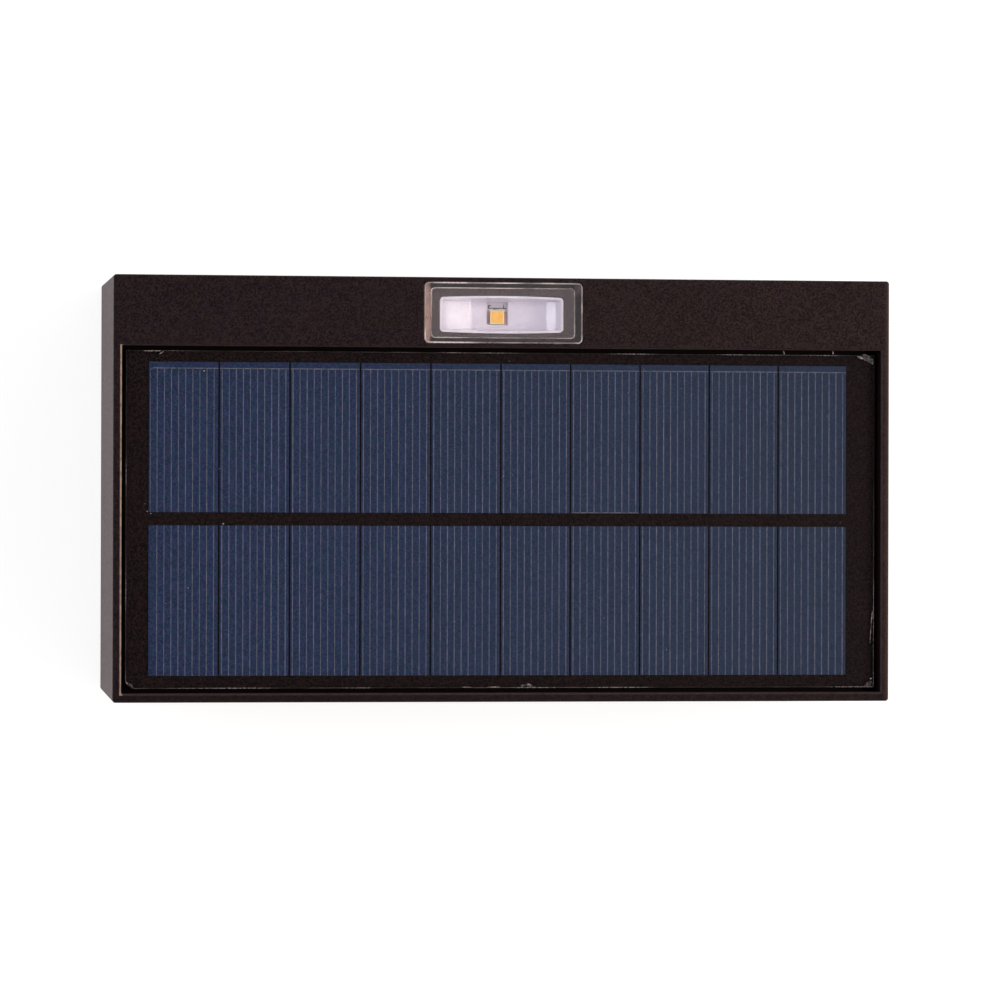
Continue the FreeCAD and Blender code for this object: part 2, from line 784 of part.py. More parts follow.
def save_button():
    save("power_button", make_power_button())
    save("button_seal", tube(button_x, button_y, button_radius + seal_fit, button_radius + seal_width,
                             dish_z + seal_from_dish, dish_z + seal_from_dish + seal_thickness))
    save("button_spring", make_button_spring())
    save("switch_body", make_switch_body())
    save("switch_plunger", rod(button_x, button_y, plunger_radius, plunger_z, plunger_z + plunger_length))


# ---- leads ---------------------------------------------------------------------------------------
def lead(points, bend):
    """A round lead along straight runs that meet in tangent arcs."""
    edges = []
    start = points[0]
    for before, corner, after in zip(points, points[1:], points[2:]):
        back = (before - corner).normalize()
        ahead = (after - corner).normalize()
        half_angle = back.getAngle(ahead) / 2
        reach = bend / math.tan(half_angle)
        middle = corner + (back + ahead).normalize() * (bend / math.sin(half_angle) - bend)
        arc_start = corner + back * reach
        arc_end = corner + ahead * reach
        edges.append(Part.LineSegment(start, arc_start).toShape())
        edges.append(Part.Arc(arc_start, middle, arc_end).toShape())
        start = arc_end
    edges.append(Part.LineSegment(start, points[-1]).toShape())
    section = Part.Wire(Part.Circle(points[0], points[1] - points[0], lead_radius).toShape())
    return Part.Wire(edges).makePipeShell([section], True, False)


def make_leads(side):
    """The four leads of one colour. side is -1 for the red ones, left of the black ones, and 1 for those."""
    offset = side * lead_pitch / 2
    panel_x = control_left + panel_connector + offset
    pad_z = panel_board_under_z - pad_thickness
    panel = lead([V(panel_x, panel_lead_y, pad_z), V(panel_x, panel_lead_y, lead_z),
                  V(panel_x, control_rear, lead_z)], lead_bend)
    up = light_lead(window_x + up_lead_from_window + offset, up_window_y, top_z - unit_back_depth,
                    control_left + up_connector + offset, control_rear + up_lead_reach + offset, lead_bend)
    down = light_lead(window_x + down_lead_from_window + offset, down_window_y, base_z + unit_back_depth,
                      control_left + down_connector + offset, control_rear + down_lead_reach + offset,
                      down_lead_bend)
    return [panel, up, down]


def light_lead(start_x, window_y, start_z, end_x, turn_y, bend):
    start_y = window_y + reflector_shift_y
    return lead([V(start_x, start_y, start_z), V(start_x, start_y, lead_z), V(start_x, turn_y, lead_z),
                 V(end_x, turn_y, lead_z), V(end_x, control_rear, lead_z)], bend)


def battery_lead_red():
    y = holder_y - lead_pitch / 2
    return rod_along_x(holder_right + lug_reach, control_left, y, lead_z, lead_radius)


def battery_lead_black():
    y = holder_y + lead_pitch / 2
    turn_x = control_left - battery_lead_turn
    side_y = holder_y + holder_width / 2 + battery_lead_side
    lug_x = holder_left - lug_reach / 2
    lug_y = holder_y + contact_width / 2
    return lead([V(control_left, y, lead_z), V(turn_x, y, lead_z), V(turn_x, side_y, lead_z),
                 V(lug_x, side_y, lead_z), V(lug_x, lug_y, lead_z)], battery_lead_bend)


# ---- output --------------------------------------------------------------------------------------
def save(name, shape):
    shape.exportStep(f"parts/{name}.step")
    state = "valid" if shape.isValid() else "NOT VALID"
    print(f"{name:26s} {len(shape.Solids):3d} solid(s)  {shape.Volume:12.2f} mm3  {state}")


def save_light_unit(way, place):
    save(f"{way}_lens", place(unit_lens()))
    save(f"{way}_reflector", place(unit_reflector()))
    save(f"{way}_led_board", place(unit_board()))
    save(f"{way}_led_package", place(unit_led_package()))
    save(f"{way}_led_phosphor", place(unit_led_phosphor()))
    save(f"{way}_led_terminals", place(unit_led_terminals()))
    save(f"{way}_light_screws", place(unit_screws()))


os.makedirs("parts", exist_ok=True)
save("housing", make_housing())
save("bottom_cover", make_bottom_cover())
save("cover_gasket", gasket_form(seam_z - gasket_height, seam_z))
save("cover_screws", group([cover_screw(x, y) for x, y in boss_places()]))
save_panel()
save_light_unit("up", set_up)
save_light_unit("down", set_down)
save_control()
save_battery()
save_button()
save("leads_red", group(make_leads(-1) + [battery_lead_red()]))
save("leads_black", group(make_leads(1) + [battery_lead_black()]))
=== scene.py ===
import math
import random

import bmesh
import bpy
from mathutils import Matrix, Vector


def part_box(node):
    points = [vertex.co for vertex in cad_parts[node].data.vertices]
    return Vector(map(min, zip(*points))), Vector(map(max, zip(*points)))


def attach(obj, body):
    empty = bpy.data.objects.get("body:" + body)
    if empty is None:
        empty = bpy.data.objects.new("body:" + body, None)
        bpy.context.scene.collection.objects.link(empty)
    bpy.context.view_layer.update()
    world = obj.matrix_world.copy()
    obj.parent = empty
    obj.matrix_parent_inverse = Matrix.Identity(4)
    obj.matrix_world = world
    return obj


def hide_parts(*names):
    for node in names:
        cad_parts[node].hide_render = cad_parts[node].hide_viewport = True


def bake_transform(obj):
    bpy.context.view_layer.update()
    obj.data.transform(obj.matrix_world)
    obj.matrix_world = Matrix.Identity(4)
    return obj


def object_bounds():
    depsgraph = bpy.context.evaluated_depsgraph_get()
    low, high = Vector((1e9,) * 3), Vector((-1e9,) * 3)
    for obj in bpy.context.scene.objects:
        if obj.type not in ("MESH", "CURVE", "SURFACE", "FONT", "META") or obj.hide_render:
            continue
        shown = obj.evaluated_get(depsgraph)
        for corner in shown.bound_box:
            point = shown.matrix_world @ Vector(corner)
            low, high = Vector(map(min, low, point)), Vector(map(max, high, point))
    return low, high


# The looks of a solar fence light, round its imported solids. Sizes are in millimetres and become metres
# where a mesh or a material is made. +Y points into the fence, +Z is up.

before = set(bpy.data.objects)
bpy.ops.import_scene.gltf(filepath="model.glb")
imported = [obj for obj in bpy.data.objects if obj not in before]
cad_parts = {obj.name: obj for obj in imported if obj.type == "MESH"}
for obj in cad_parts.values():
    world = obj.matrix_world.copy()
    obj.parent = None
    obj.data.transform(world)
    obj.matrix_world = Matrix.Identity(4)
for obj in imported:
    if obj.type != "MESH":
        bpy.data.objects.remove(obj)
cad_low, cad_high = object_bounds()
MM = 0.001
sharp_angle = 35                 # degrees; steeper edges keep a crease
random.seed(7)

# ---- camera, measured against the photograph -------------------------------------------------------
camera_distance = 1023.0
camera_focal = 185.22            # with a sensor 36 mm wide
camera_yaw = 8.393                 # degrees
camera_pitch = -0.19
camera_roll = -0.155
camera_shift_x = 1.074            # of the top face's middle, in the camera's own axes
camera_shift_y = 2.035

# ---- panel ---------------------------------------------------------------------------------------
sheet_rim = 0.18                 # bevel round the clear sheet's upper edge
sheet_bed = 2.0                  # width of the sheet's rim that lies on the board, round the cells
sheet_lift = 0.02                # of its bed from the board, for the bonding film
panel_corner = 1.8
finger_pitch = 1.405
finger_width = 0.17
finger_count = 10
finger_start = 0.42              # first finger's centre, from a cell's left edge
first_cell_start = 1.65          # the same in the rear row's first cell, whose corner finger is apart
line_thickness = 0.02
bus_width = 0.2
bus_from_rear = 1.27             # rear row's cross line, from the cells' rear edge
hook_radius = 0.6
hook_width = 0.1
dust_count = 60
spare_line_cell = 6              # the rear row's cell with one more cross line, at its front edge

# ---- light units ---------------------------------------------------------------------------------
lens_corner = 1.0
lens_rim = 0.3
lens_wall_x = 1.3
lens_wall_y = 0.95
lens_top = 1.3
lens_draft = 0.12                # how far its inner walls lean in
lens_inner_rim = 0.2
glue_thickness = 0.05            # of the film that the lens stands on
track_thickness = 0.035

# Places on the object, where its finishes or its painted light and shade change. A pair says where a
# change starts and where it ends.
pocket_half_x = 76.6
pocket_front_y = -82.9
pocket_rear_y = -13.9
pocket_walls_z = (19.0, 24.6)
pocket_chamfer_z = (24.73, 24.97)
lit_chamfer_x = (-76.2, -75.9)
front_rim_y = (-81.0, -83.5)
right_rim_x = (76.6, 78.0)
lens_left_foot_x = (-14.6, -15.2)
lens_corner_x = (13.9, 14.6)
lens_corner_y = (-4.0, -2.0)
panel_top_z = 23.0
smudge_z = 22.6
smudge_depth = 5.0

# ---- floor and world -----------------------------------------------------------------------------
floor_gap = 0.1                  # below the object
floor_half_size = 3.0            # metres
floor_grey = 0.42
floor_glow = 0.74
shade_from = 0.62                # sine of the height where the sky begins to darken
shade_to = 0.93
sky_level = 0.95
overhead_level = 0.14

# ---- button --------------------------------------------------------------------------------------
button_radius = 4.0
button_stem = 1.5                # radius
button_shoulder = 3.4            # from the face to the flange
button_flange = 1.0              # thickness
button_rim = 0.5
button_hollow = 0.25             # depth of the dished face, in its middle
button_dish = 0.19               # depth part of the way out
button_lip = 0.06                # depth at the rim's foot
spring_wire = 0.2                # radius
spring_turns = 5
spring_steps = 24                # round each turn


# ---- mesh helpers --------------------------------------------------------------------------------
def finish_piece(name, bm, body, materials, smooth=True):
    """Makes a mesh object of bm, at the origin, with the given materials. It rides on a body, if one is
    named."""
    bmesh.ops.recalc_face_normals(bm, faces=bm.faces)
    mesh = bpy.data.meshes.new(name)
    bm.to_mesh(mesh)
    bm.free()
    piece = bpy.data.objects.new(name, mesh)
    bpy.context.scene.collection.objects.link(piece)
    for material in materials:
        mesh.materials.append(material)
    if smooth:
        mesh.shade_smooth()
        mesh.set_sharp_from_angle(angle=math.radians(sharp_angle))
        piece.modifiers.new("level_shading", "WEIGHTED_NORMAL").keep_sharp = True
    if body:
        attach(piece, body)
    return piece


def add_box(bm, low, high):
    """A plain block between two corners; returns its vertices."""
    made = bmesh.ops.create_cube(bm, size=1.0)["verts"]
    size = high - low
    bmesh.ops.scale(bm, vec=size, verts=made)
    bmesh.ops.translate(bm, vec=(low + high) / 2, verts=made)
    return made


def edges_where(bm, test):
    return [edge for edge in bm.edges if test(edge.verts[0].co, edge.verts[1].co)]


def bevel(bm, edges, offset, segments):
    bmesh.ops.bevel(bm, geom=edges, offset=offset, offset_type="OFFSET", segments=segments, profile=0.5,
                    affect="EDGES", material=-1, clamp_overlap=True)


def is_upright(a, b):
    return (a - b).xy.length < 1e-7


def level_faces(bm, z, way):
    """The faces at height z that look up (way 1) or down (way -1)."""
    bm.normal_update()
    return [face for face in bm.faces
            if face.normal.z * way > 0.9 and abs(face.calc_center_median().z - z) < 1e-7]


def rounded_box(low, high, corner, rim, rim_way):
    """A block with rounded upright edges, and a rounded rim on top (rim_way 1) or below (rim_way -1)."""
    bm = bmesh.new()
    add_box(bm, low, high)
    bevel(bm, edges_where(bm, is_upright), corner, 6)
    rim_z = high.z if rim_way > 0 else low.z
    bevel(bm, edges_where(bm, lambda a, b: max(abs(a.z - rim_z), abs(b.z - rim_z)) < 1e-7), rim, 3)
    return bm


def pulled_out(bm, faces):
    """Extrudes faces where they are, and returns the new faces and their vertices."""
    made = bmesh.ops.extrude_face_region(bm, geom=faces)["geom"]
    bmesh.ops.delete(bm, geom=faces, context="FACES_ONLY")
    new_faces = [item for item in made if isinstance(item, bmesh.types.BMFace)]
    return new_faces, list({vertex for face in new_faces for vertex in face.verts})


# ---- material helpers ----------------------------------------------------------------------------
def add(tree, kind, inputs=None, **settings):
    """Adds a node. An input that is a socket is linked, and any other is a value."""
    made = tree.nodes.new("ShaderNode" + kind)
    for name, value in settings.items():
        setattr(made, name, value)
    for key, value in (inputs or {}).items():
        if isinstance(value, bpy.types.NodeSocket):
            tree.links.new(value, made.inputs[key])
        else:
            made.inputs[key].default_value = value
    return made


def start_material(name):
    material = bpy.data.materials.new(name)
    material.use_nodes = True
    material.node_tree.nodes.clear()
    return material, material.node_tree


def end_material(tree, shader):
    add(tree, "OutputMaterial", {"Surface": shader.outputs[0]})


def start_finish(name):
    """A new material, its node tree and the object's own coordinates."""
    material, tree = start_material(name)
    return material, tree, add(tree, "TexCoord").outputs["Object"]


def noise(tree, coords, size, detail=2.0, roughness=0.5):
    """Noise whose features are about size millimetres across, from 0 to 1."""
    return add(tree, "TexNoise", {"Vector": coords, "Scale": 1 / (size * MM), "Detail": detail,
                                  "Roughness": roughness}).outputs["Fac"]


def remap(tree, value, low, high, to_low=0.0, to_high=1.0):
    return add(tree, "MapRange", {"Value": value, "From Min": low, "From Max": high, "To Min": to_low,
                                  "To Max": to_high}, interpolation_type="SMOOTHSTEP").outputs[0]


def mix_colour(tree, factor, first, second):
    made = add(tree, "Mix", data_type="RGBA")
    for socket, value in ((made.inputs["Factor"], factor), (made.inputs[6], first), (made.inputs[7], second)):
        if isinstance(value, bpy.types.NodeSocket):
            tree.links.new(value, socket)
        elif socket.type == "RGBA":
            socket.default_value = (*value, 1.0)
        else:
            socket.default_value = value
    return made.outputs[2]


def math_node(tree, operation, first, second):
    return add(tree, "Math", {0: first, 1: second}, operation=operation).outputs[0]


def times(tree, first, second):
    return math_node(tree, "MULTIPLY", first, second)


def bump(tree, height, distance, strength=1.0, normal=None):
    inputs = {"Height": height, "Distance": distance * MM, "Strength": strength}
    if normal is not None:
        inputs["Normal"] = normal
    return add(tree, "Bump", inputs).outputs[0]


def soft_edges(tree, radius):
    return add(tree, "Bevel", {"Radius": radius * MM}, samples=4).outputs[0]


def worn_edges(tree, radius):
    """From 0 on flat stretches to 1 on edges."""
    rounded = add(tree, "Bevel", {"Radius": radius * MM}, samples=6).outputs[0]
    flat = add(tree, "NewGeometry").outputs["Normal"]
    likeness = add(tree, "VectorMath", {0: rounded, 1: flat}, operation="DOT_PRODUCT").outputs["Value"]
    return remap(tree, likeness, 0.995, 0.8)


def flecks(tree, coords, spacing, size):
    """Sparse round flecks, 1 inside them; spacing and size in millimetres."""
    cells = add(tree, "TexVoronoi", {"Vector": coords, "Scale": 1 / (spacing * MM)})
    near = remap(tree, cells.outputs["Distance"], size / spacing, 0.5 * size / spacing)
    chosen = add(tree, "SeparateColor", {"Color": cells.outputs["Color"]}).outputs[0]
    return times(tree, near, remap(tree, chosen, 0.72, 0.78))


def principled(tree, inputs):
    return add(tree, "BsdfPrincipled", inputs)


# ---- materials -----------------------------------------------------------------------------------
def moulded_plastic(name, dark, light, edge, roughness, specular, grain, depth):
    """Moulded plastic with a fine spark texture: dark and light patches and paler, rubbed edges."""
    material, tree, coords = start_finish(name)
    fine = noise(tree, coords, grain, 3.0, 0.6)
    broad = noise(tree, coords, 45.0, 2.0)
    blend = math_node(tree, "ADD", times(tree, fine, 0.55), times(tree, broad, 0.45))
    colour = mix_colour(tree, remap(tree, blend, 0.36, 0.64), dark, light)
    rubbed = times(tree, worn_edges(tree, 0.35), remap(tree, noise(tree, coords, 1.6, 3.0), 0.35, 0.7))
    colour = mix_colour(tree, times(tree, rubbed, 0.6), colour, edge)
    rough = remap(tree, fine, 0.3, 0.7, roughness - 0.06, roughness + 0.08)
    normal = bump(tree, fine, depth, 0.6, soft_edges(tree, 0.12))
    end_material(tree, principled(tree, {"Base Color": colour, "Roughness": rough, "Normal": normal,
                                         "Specular IOR Level": specular}))
    return material


def two_tone(tree, coords, size, first, second):
    """Two colours in soft patches about size millimetres across."""
    return mix_colour(tree, remap(tree, noise(tree, coords, size, 2.0), 0.42, 0.58), first, second)


def between(tree, value, low, high):
    """1 from low to high, in millimetres, and 0 a little outside."""
    rise = remap(tree, value, (low - 0.1) * MM, low * MM)
    fall = remap(tree, value, (high + 0.1) * MM, high * MM)
    return times(tree, rise, fall)


def along(tree, value, place):
    """0 before a place and 1 past it. The place is a pair in millimetres."""
    start, end = place
    return remap(tree, value, start * MM, end * MM)


def housing_plastic(name):
    """Black moulding with a strong brown and violet grain, dust specks and rubbed edges, which are partly a
    painted highlight. Painted light and shade: the right half and the right rim paler and browner, as lit
    from the right, a painted highlight on the pocket's chamfer and painted shade on the pocket walls. The end
    walls are a little paler and mottled, partly dust and partly a painted sheen."""
    material, tree, coords = start_finish(name)
    stretched = add(tree, "Mapping", {"Vector": coords, "Scale": (1.0, 1.0, 0.55)}).outputs[0]
    fine = noise(tree, stretched, 0.34, 3.0, 0.75)
    broad = noise(tree, coords, 26.0, 2.0)
    place = add(tree, "SeparateXYZ", {"Vector": coords}).outputs
    dark = two_tone(tree, coords, 1.3, (0.0026, 0.0014, 0.0026), (0.0034, 0.0020, 0.0019))
    # Painted light: the pale tone paler and browner towards the right, where the light from the right falls.
    light = mix_colour(tree, remap(tree, place[0], -0.06, 0.08),
                       two_tone(tree, coords, 1.3, (0.0170, 0.0095, 0.0135), (0.0195, 0.0125, 0.0125)),
                       two_tone(tree, coords, 1.6, (0.0235, 0.0138, 0.0150), (0.0265, 0.0170, 0.0145)))
    blend = math_node(tree, "ADD", times(tree, fine, 0.9), times(tree, broad, 0.1))
    colour = mix_colour(tree, remap(tree, blend, 0.40, 0.60), dark, light)
    # Paler rubbed edges: partly wear and partly a painted highlight, where the edges catch the light.
    edges = worn_edges(tree, 0.3)
    rubbed = times(tree, edges, remap(tree, noise(tree, coords, 1.6, 3.0), 0.35, 0.7))
    colour = mix_colour(tree, times(tree, rubbed, 0.5), colour, (0.040, 0.031, 0.030))
    front_rim = times(tree, along(tree, place[1], front_rim_y), 0.4)
    colour = mix_colour(tree, front_rim, colour, (0.0040, 0.0022, 0.0026))
    # Painted highlight: the right rim paler and browner, where its rounded edge catches the light from the
    # right.
    right_rim_highlight = times(tree, along(tree, place[0], right_rim_x), 0.6)
    colour = mix_colour(tree, right_rim_highlight, colour, (0.0480, 0.0290, 0.0210))
    specks = times(tree, flecks(tree, coords, 4.5, 0.13), 0.8)
    colour = mix_colour(tree, specks, colour, (0.30, 0.27, 0.28))
    near_pocket = times(tree, between(tree, place[0], -pocket_half_x, pocket_half_x),
                        between(tree, place[1], pocket_front_y, pocket_rear_y))
    # Painted highlight on the pocket's chamfer: golden on the left chamfer, which faces the light from the
    # right.
    chamfer = times(tree, near_pocket, between(tree, place[2], *pocket_chamfer_z))
    chamfer_highlight = mix_colour(tree, along(tree, place[0], lit_chamfer_x), (0.30, 0.21, 0.165), (0.034, 0.026, 0.029))
    colour = mix_colour(tree, times(tree, chamfer,
                                    remap(tree, noise(tree, coords, 1.2, 2.0), 0.3, 0.6, 0.6, 1.0)),
                        colour, chamfer_highlight)
    # The end walls paler and mottled: partly dust and partly a painted sheen, for their glancing reflection.
    facing_x = add(tree, "SeparateXYZ", {"Vector": add(tree, "NewGeometry").outputs["Normal"]}).outputs[0]
    side = remap(tree, math_node(tree, "ABSOLUTE", facing_x, 0.0), 0.85, 0.97)
    dust = mix_colour(tree, remap(tree, noise(tree, stretched, 0.7, 3.0, 0.8), 0.42, 0.60),
                      (0.008, 0.004, 0.005), (0.085, 0.054, 0.057))
    colour = mix_colour(tree, times(tree, side, 0.6), colour, dust)
    # Painted shade: the pocket walls, down in the gap round the panel, nearly black.
    pocket = times(tree, near_pocket, between(tree, place[2], *pocket_walls_z))
    colour = mix_colour(tree, pocket, colour, (0.0006, 0.0004, 0.0005))
    rough = remap(tree, fine, 0.3, 0.7, 0.45, 0.58)
    polished = add(tree, "Mix", {0: edges, 2: rough, 3: 0.4}).outputs[0]
    end_material(tree, principled(tree, {"Base Color": colour, "Roughness": polished,
                                         "Normal": bump(tree, fine, 0.07, 0.6, soft_edges(tree, 0.28)),
                                         "Specular IOR Level": 0.12,
                                         "Specular Tint": (1.0, 0.74, 0.78, 1.0),
                                         "Sheen Weight": 0.03, "Sheen Roughness": 0.4,
                                         "Sheen Tint": (1.0, 0.3, 0.4, 1.0)}))
    return material


def rubber(name, dark, light, roughness):
    material, tree, coords = start_finish(name)
    fine = noise(tree, coords, 0.35, 3.0)
    bloom = noise(tree, coords, 6.0, 4.0)
    colour = mix_colour(tree, remap(tree, bloom, 0.35, 0.7), dark, light)
    rough = remap(tree, fine, 0.3, 0.7, roughness - 0.08, roughness + 0.05)
    end_material(tree, principled(tree, {"Base Color": colour, "Roughness": rough,
                                         "Normal": bump(tree, fine, 0.02, 0.5, soft_edges(tree, 0.08)),
                                         "Specular IOR Level": 0.3}))
    return material


def plated_metal(name, bright, dull, roughness, brush):
    """Bright metal with drawing marks along Z, faint tarnish and brighter edges. brush is the marks' width."""
    material, tree, coords = start_finish(name)
    stretched = add(tree, "Mapping", {"Vector": coords, "Scale": (1.0, 1.0, 0.12)}).outputs[0]
    marks = noise(tree, stretched, brush, 2.0)
    tarnish = noise(tree, coords, 1.4, 4.0)
    colour = mix_colour(tree, remap(tree, tarnish, 0.42, 0.75), bright, dull)
    colour = mix_colour(tree, times(tree, worn_edges(tree, 0.12), 0.5), colour, bright)
    rough = remap(tree, marks, 0.3, 0.7, roughness - 0.08, roughness + 0.12)
    end_material(tree, principled(tree, {"Base Color": colour, "Metallic": 1.0, "Roughness": rough,
                                         "Normal": bump(tree, marks, 0.01, 0.4, soft_edges(tree, 0.06))}))
    return material


def foam(name, dark, light):
    material, tree, coords = start_finish(name)
    pores = add(tree, "TexVoronoi", {"Vector": coords, "Scale": 1 / (0.35 * MM)}).outputs["Distance"]
    colour = mix_colour(tree, remap(tree, pores, 0.1, 0.6), dark, light)
    end_material(tree, principled(tree, {"Base Color": colour, "Roughness": 0.9,
                                         "Normal": bump(tree, pores, 0.08, 0.8),
                                         "Specular IOR Level": 0.2}))
    return material


def lacquered_board(name, dark, light, roughness, specular):
    """Lacquer over a woven board: faint weave, broad shade changes."""
    material, tree, coords = start_finish(name)
    warp = add(tree, "TexWave", {"Vector": coords, "Scale": 1 / (2.2 * MM), "Distortion": 0.6},
               bands_direction="X").outputs["Fac"]
    weft = add(tree, "TexWave", {"Vector": coords, "Scale": 1 / (2.2 * MM), "Distortion": 0.6},
               bands_direction="Y").outputs["Fac"]
    weave = times(tree, warp, weft)
    grain = noise(tree, coords, 0.45, 4.0, 0.7)
    colour = mix_colour(tree, remap(tree, grain, 0.40, 0.62), dark, light)
    rough = remap(tree, grain, 0.3, 0.7, roughness - 0.06, roughness + 0.08)
    end_material(tree, principled(tree, {"Base Color": colour, "Roughness": rough,
                                         "Normal": bump(tree, weave, 0.012, 0.35, soft_edges(tree, 0.05)),
                                         "Specular IOR Level": specular}))
    return material


def smudge(tree, coords, x, y, length, width, angle):
    """A soft mark on the panel, 1 in its middle; sizes and place in millimetres."""
    place = add(tree, "Mapping", {"Vector": coords, "Location": (x * MM, y * MM, smudge_z * MM),
                                  "Rotation": (0, 0, math.radians(angle)),
                                  "Scale": (length * MM, width * MM, smudge_depth * MM)},
                vector_type="TEXTURE").outputs[0]
    return add(tree, "TexGradient", {"Vector": place}, gradient_type="SPHERICAL").outputs["Fac"]


def solar_cell(name):
    """Dark blue silicon under resin: teal and violet grain, and a few darker handling marks."""
    material, tree, coords = start_finish(name)
    grain = noise(tree, coords, 0.34, 3.0, 0.75)
    across = remap(tree, add(tree, "SeparateXYZ", {"Vector": coords}).outputs[0], -0.07, 0.07)
    dark = two_tone(tree, coords, 1.1, (0.0070, 0.0185, 0.042), (0.0115, 0.0155, 0.050))
    light = two_tone(tree, coords, 0.8, (0.0190, 0.0420, 0.090), (0.0290, 0.0350, 0.100))
    colour = mix_colour(tree, remap(tree, grain, 0.40, 0.62), dark, light)
    colour = mix_colour(tree, times(tree, across, 0.45), colour, (0.026, 0.036, 0.056))
    marks = smudge(tree, coords, *SMUDGES[0])
    for mark in SMUDGES[1:]:
        marks = math_node(tree, "MAXIMUM", marks, smudge(tree, coords, *mark))
    patches = remap(tree, noise(tree, coords, 0.9, 3.0), 0.25, 0.75, 0.3, 1.0)
    uneven = times(tree, marks, patches)
    colour = mix_colour(tree, times(tree, uneven, 0.75), colour, (0.009, 0.018, 0.045))
    end_material(tree, principled(tree, {"Base Color": colour,
                                         "Roughness": remap(tree, grain, 0.3, 0.7, 0.42, 0.55),
                                         "Normal": bump(tree, grain, 0.006, 0.4),
                                         "Specular IOR Level": 0.12}))
    return material


def printed_silver(name):
    """Fired silver paste, dulled and broken up along the line."""
    material, tree, coords = start_finish(name)
    grain = noise(tree, coords, 0.22, 3.0, 0.7)
    runs = noise(tree, coords, 1.1, 2.0)
    shade = math_node(tree, "ADD", times(tree, grain, 0.65), times(tree, runs, 0.35))
    colour = mix_colour(tree, remap(tree, shade, 0.34, 0.66), (0.030, 0.038, 0.064), (0.140, 0.140, 0.180))
    end_material(tree, principled(tree, {"Base Color": colour, "Roughness": 0.55,
                                         "Normal": bump(tree, grain, 0.01, 0.5),
                                         "Specular IOR Level": 0.3}))
    return material


def clear_surface(tree, tint, roughness, ior, normal, share=1.0):
    """See-through with a gloss on its outer face only, as on resin that is bonded to what lies under it."""
    fresnel = add(tree, "Fresnel", {"IOR": ior, "Normal": normal}).outputs[0]
    outer = add(tree, "Math", {0: 1.0, 1: add(tree, "NewGeometry").outputs["Backfacing"]},
                operation="SUBTRACT").outputs[0]
    gloss = times(tree, times(tree, fresnel, outer), share)
    through = add(tree, "BsdfTransparent", {"Color": (*tint, 1.0)})
    shine = add(tree, "BsdfAnisotropic", {"Roughness": roughness, "Normal": normal})
    return add(tree, "MixShader", {0: gloss, 1: through.outputs[0], 2: shine.outputs[0]})


def clear_resin(name):
    material, tree, coords = start_finish(name)
    ripple = noise(tree, coords, 9.0, 2.0)
    rough = remap(tree, noise(tree, coords, 0.5, 4.0), 0.3, 0.7, 0.05, 0.12)
    end_material(tree, clear_surface(tree, (0.985, 0.985, 0.985), rough, 1.45,
                                     bump(tree, ripple, 0.02, 0.3), 0.25))
    return material


def cut_resin_edge(name):
    """The sheet's sawn edge: frosted, brighter in some stretches than in others."""
    material, tree, coords = start_finish(name)
    stretches = noise(tree, coords, 14.0, 2.0)
    chips = noise(tree, coords, 0.5, 3.0, 0.7)
    shade = times(tree, remap(tree, stretches, 0.42, 0.66, 0.3, 1.0), remap(tree, chips, 0.35, 0.6, 0.4, 1.0))
    frost = add(tree, "BsdfDiffuse", {"Color": mix_colour(tree, shade, (0.03, 0.025, 0.028),
                                                          (0.40, 0.34, 0.35))})
    clear = add(tree, "BsdfTransparent", {"Color": (0.8, 0.8, 0.8, 1.0)})
    end_material(tree, add(tree, "MixShader", {0: times(tree, shade, 0.85),
                                               1: clear.outputs[0], 2: frost.outputs[0]}))
    return material


def lens_glue_and_painted_light(name):
    """Glue film, dark and patchy, with painted light along the lens's left foot and in its right corners."""
    material, tree, coords = start_finish(name)
    place = add(tree, "SeparateXYZ", {"Vector": coords}).outputs
    cloud = noise(tree, coords, 1.3, 3.0)
    # Painted light: paler at the left foot and right corners, where the lens's wall and corners catch the
    # light.
    left = along(tree, place[0], lens_left_foot_x)
    corner = times(tree, along(tree, place[0], lens_corner_x), along(tree, place[1], lens_corner_y))
    pale = math_node(tree, "MAXIMUM", left, times(tree, corner, 0.5))
    patchy = times(tree, pale, remap(tree, cloud, 0.25, 0.6, 0.75, 1.0))
    dark = mix_colour(tree, remap(tree, cloud, 0.35, 0.65), (0.012, 0.009, 0.010), (0.040, 0.032, 0.034))
    colour = mix_colour(tree, patchy, dark, (0.92, 0.72, 0.69))
    end_material(tree, principled(tree, {"Base Color": colour,
                                         "Roughness": remap(tree, cloud, 0.3, 0.7, 0.3, 0.5),
                                         "Normal": bump(tree, cloud, 0.02, 0.5)}))
    return material


def dried_glue(name):
    material, tree, coords = start_finish(name)
    cloud = noise(tree, coords, 0.7, 3.0)
    haze = add(tree, "BsdfDiffuse", {"Color": mix_colour(tree, remap(tree, cloud, 0.35, 0.65),
                                                         (0.020, 0.019, 0.020), (0.16, 0.135, 0.14))})
    surface = clear_surface(tree, (0.9, 0.88, 0.88), 0.25, 1.48, bump(tree, cloud, 0.1, 0.6))
    end_material(tree, add(tree, "MixShader", {0: remap(tree, cloud, 0.3, 0.7, 0.15, 0.6),
                                               1: surface.outputs[0], 2: haze.outputs[0]}))
    return material


def bright_glue(name):
    """Set glue and dust that catches the light."""
    material, tree, coords = start_finish(name)
    cloud = noise(tree, coords, 0.6, 3.0)
    colour = two_tone(tree, coords, 0.5, (0.10, 0.085, 0.08), (0.34, 0.27, 0.25))
    end_material(tree, principled(tree, {"Base Color": colour,
                                         "Roughness": remap(tree, cloud, 0.3, 0.7, 0.25, 0.45),
                                         "Normal": bump(tree, cloud, 0.03, 0.5)}))
    return material


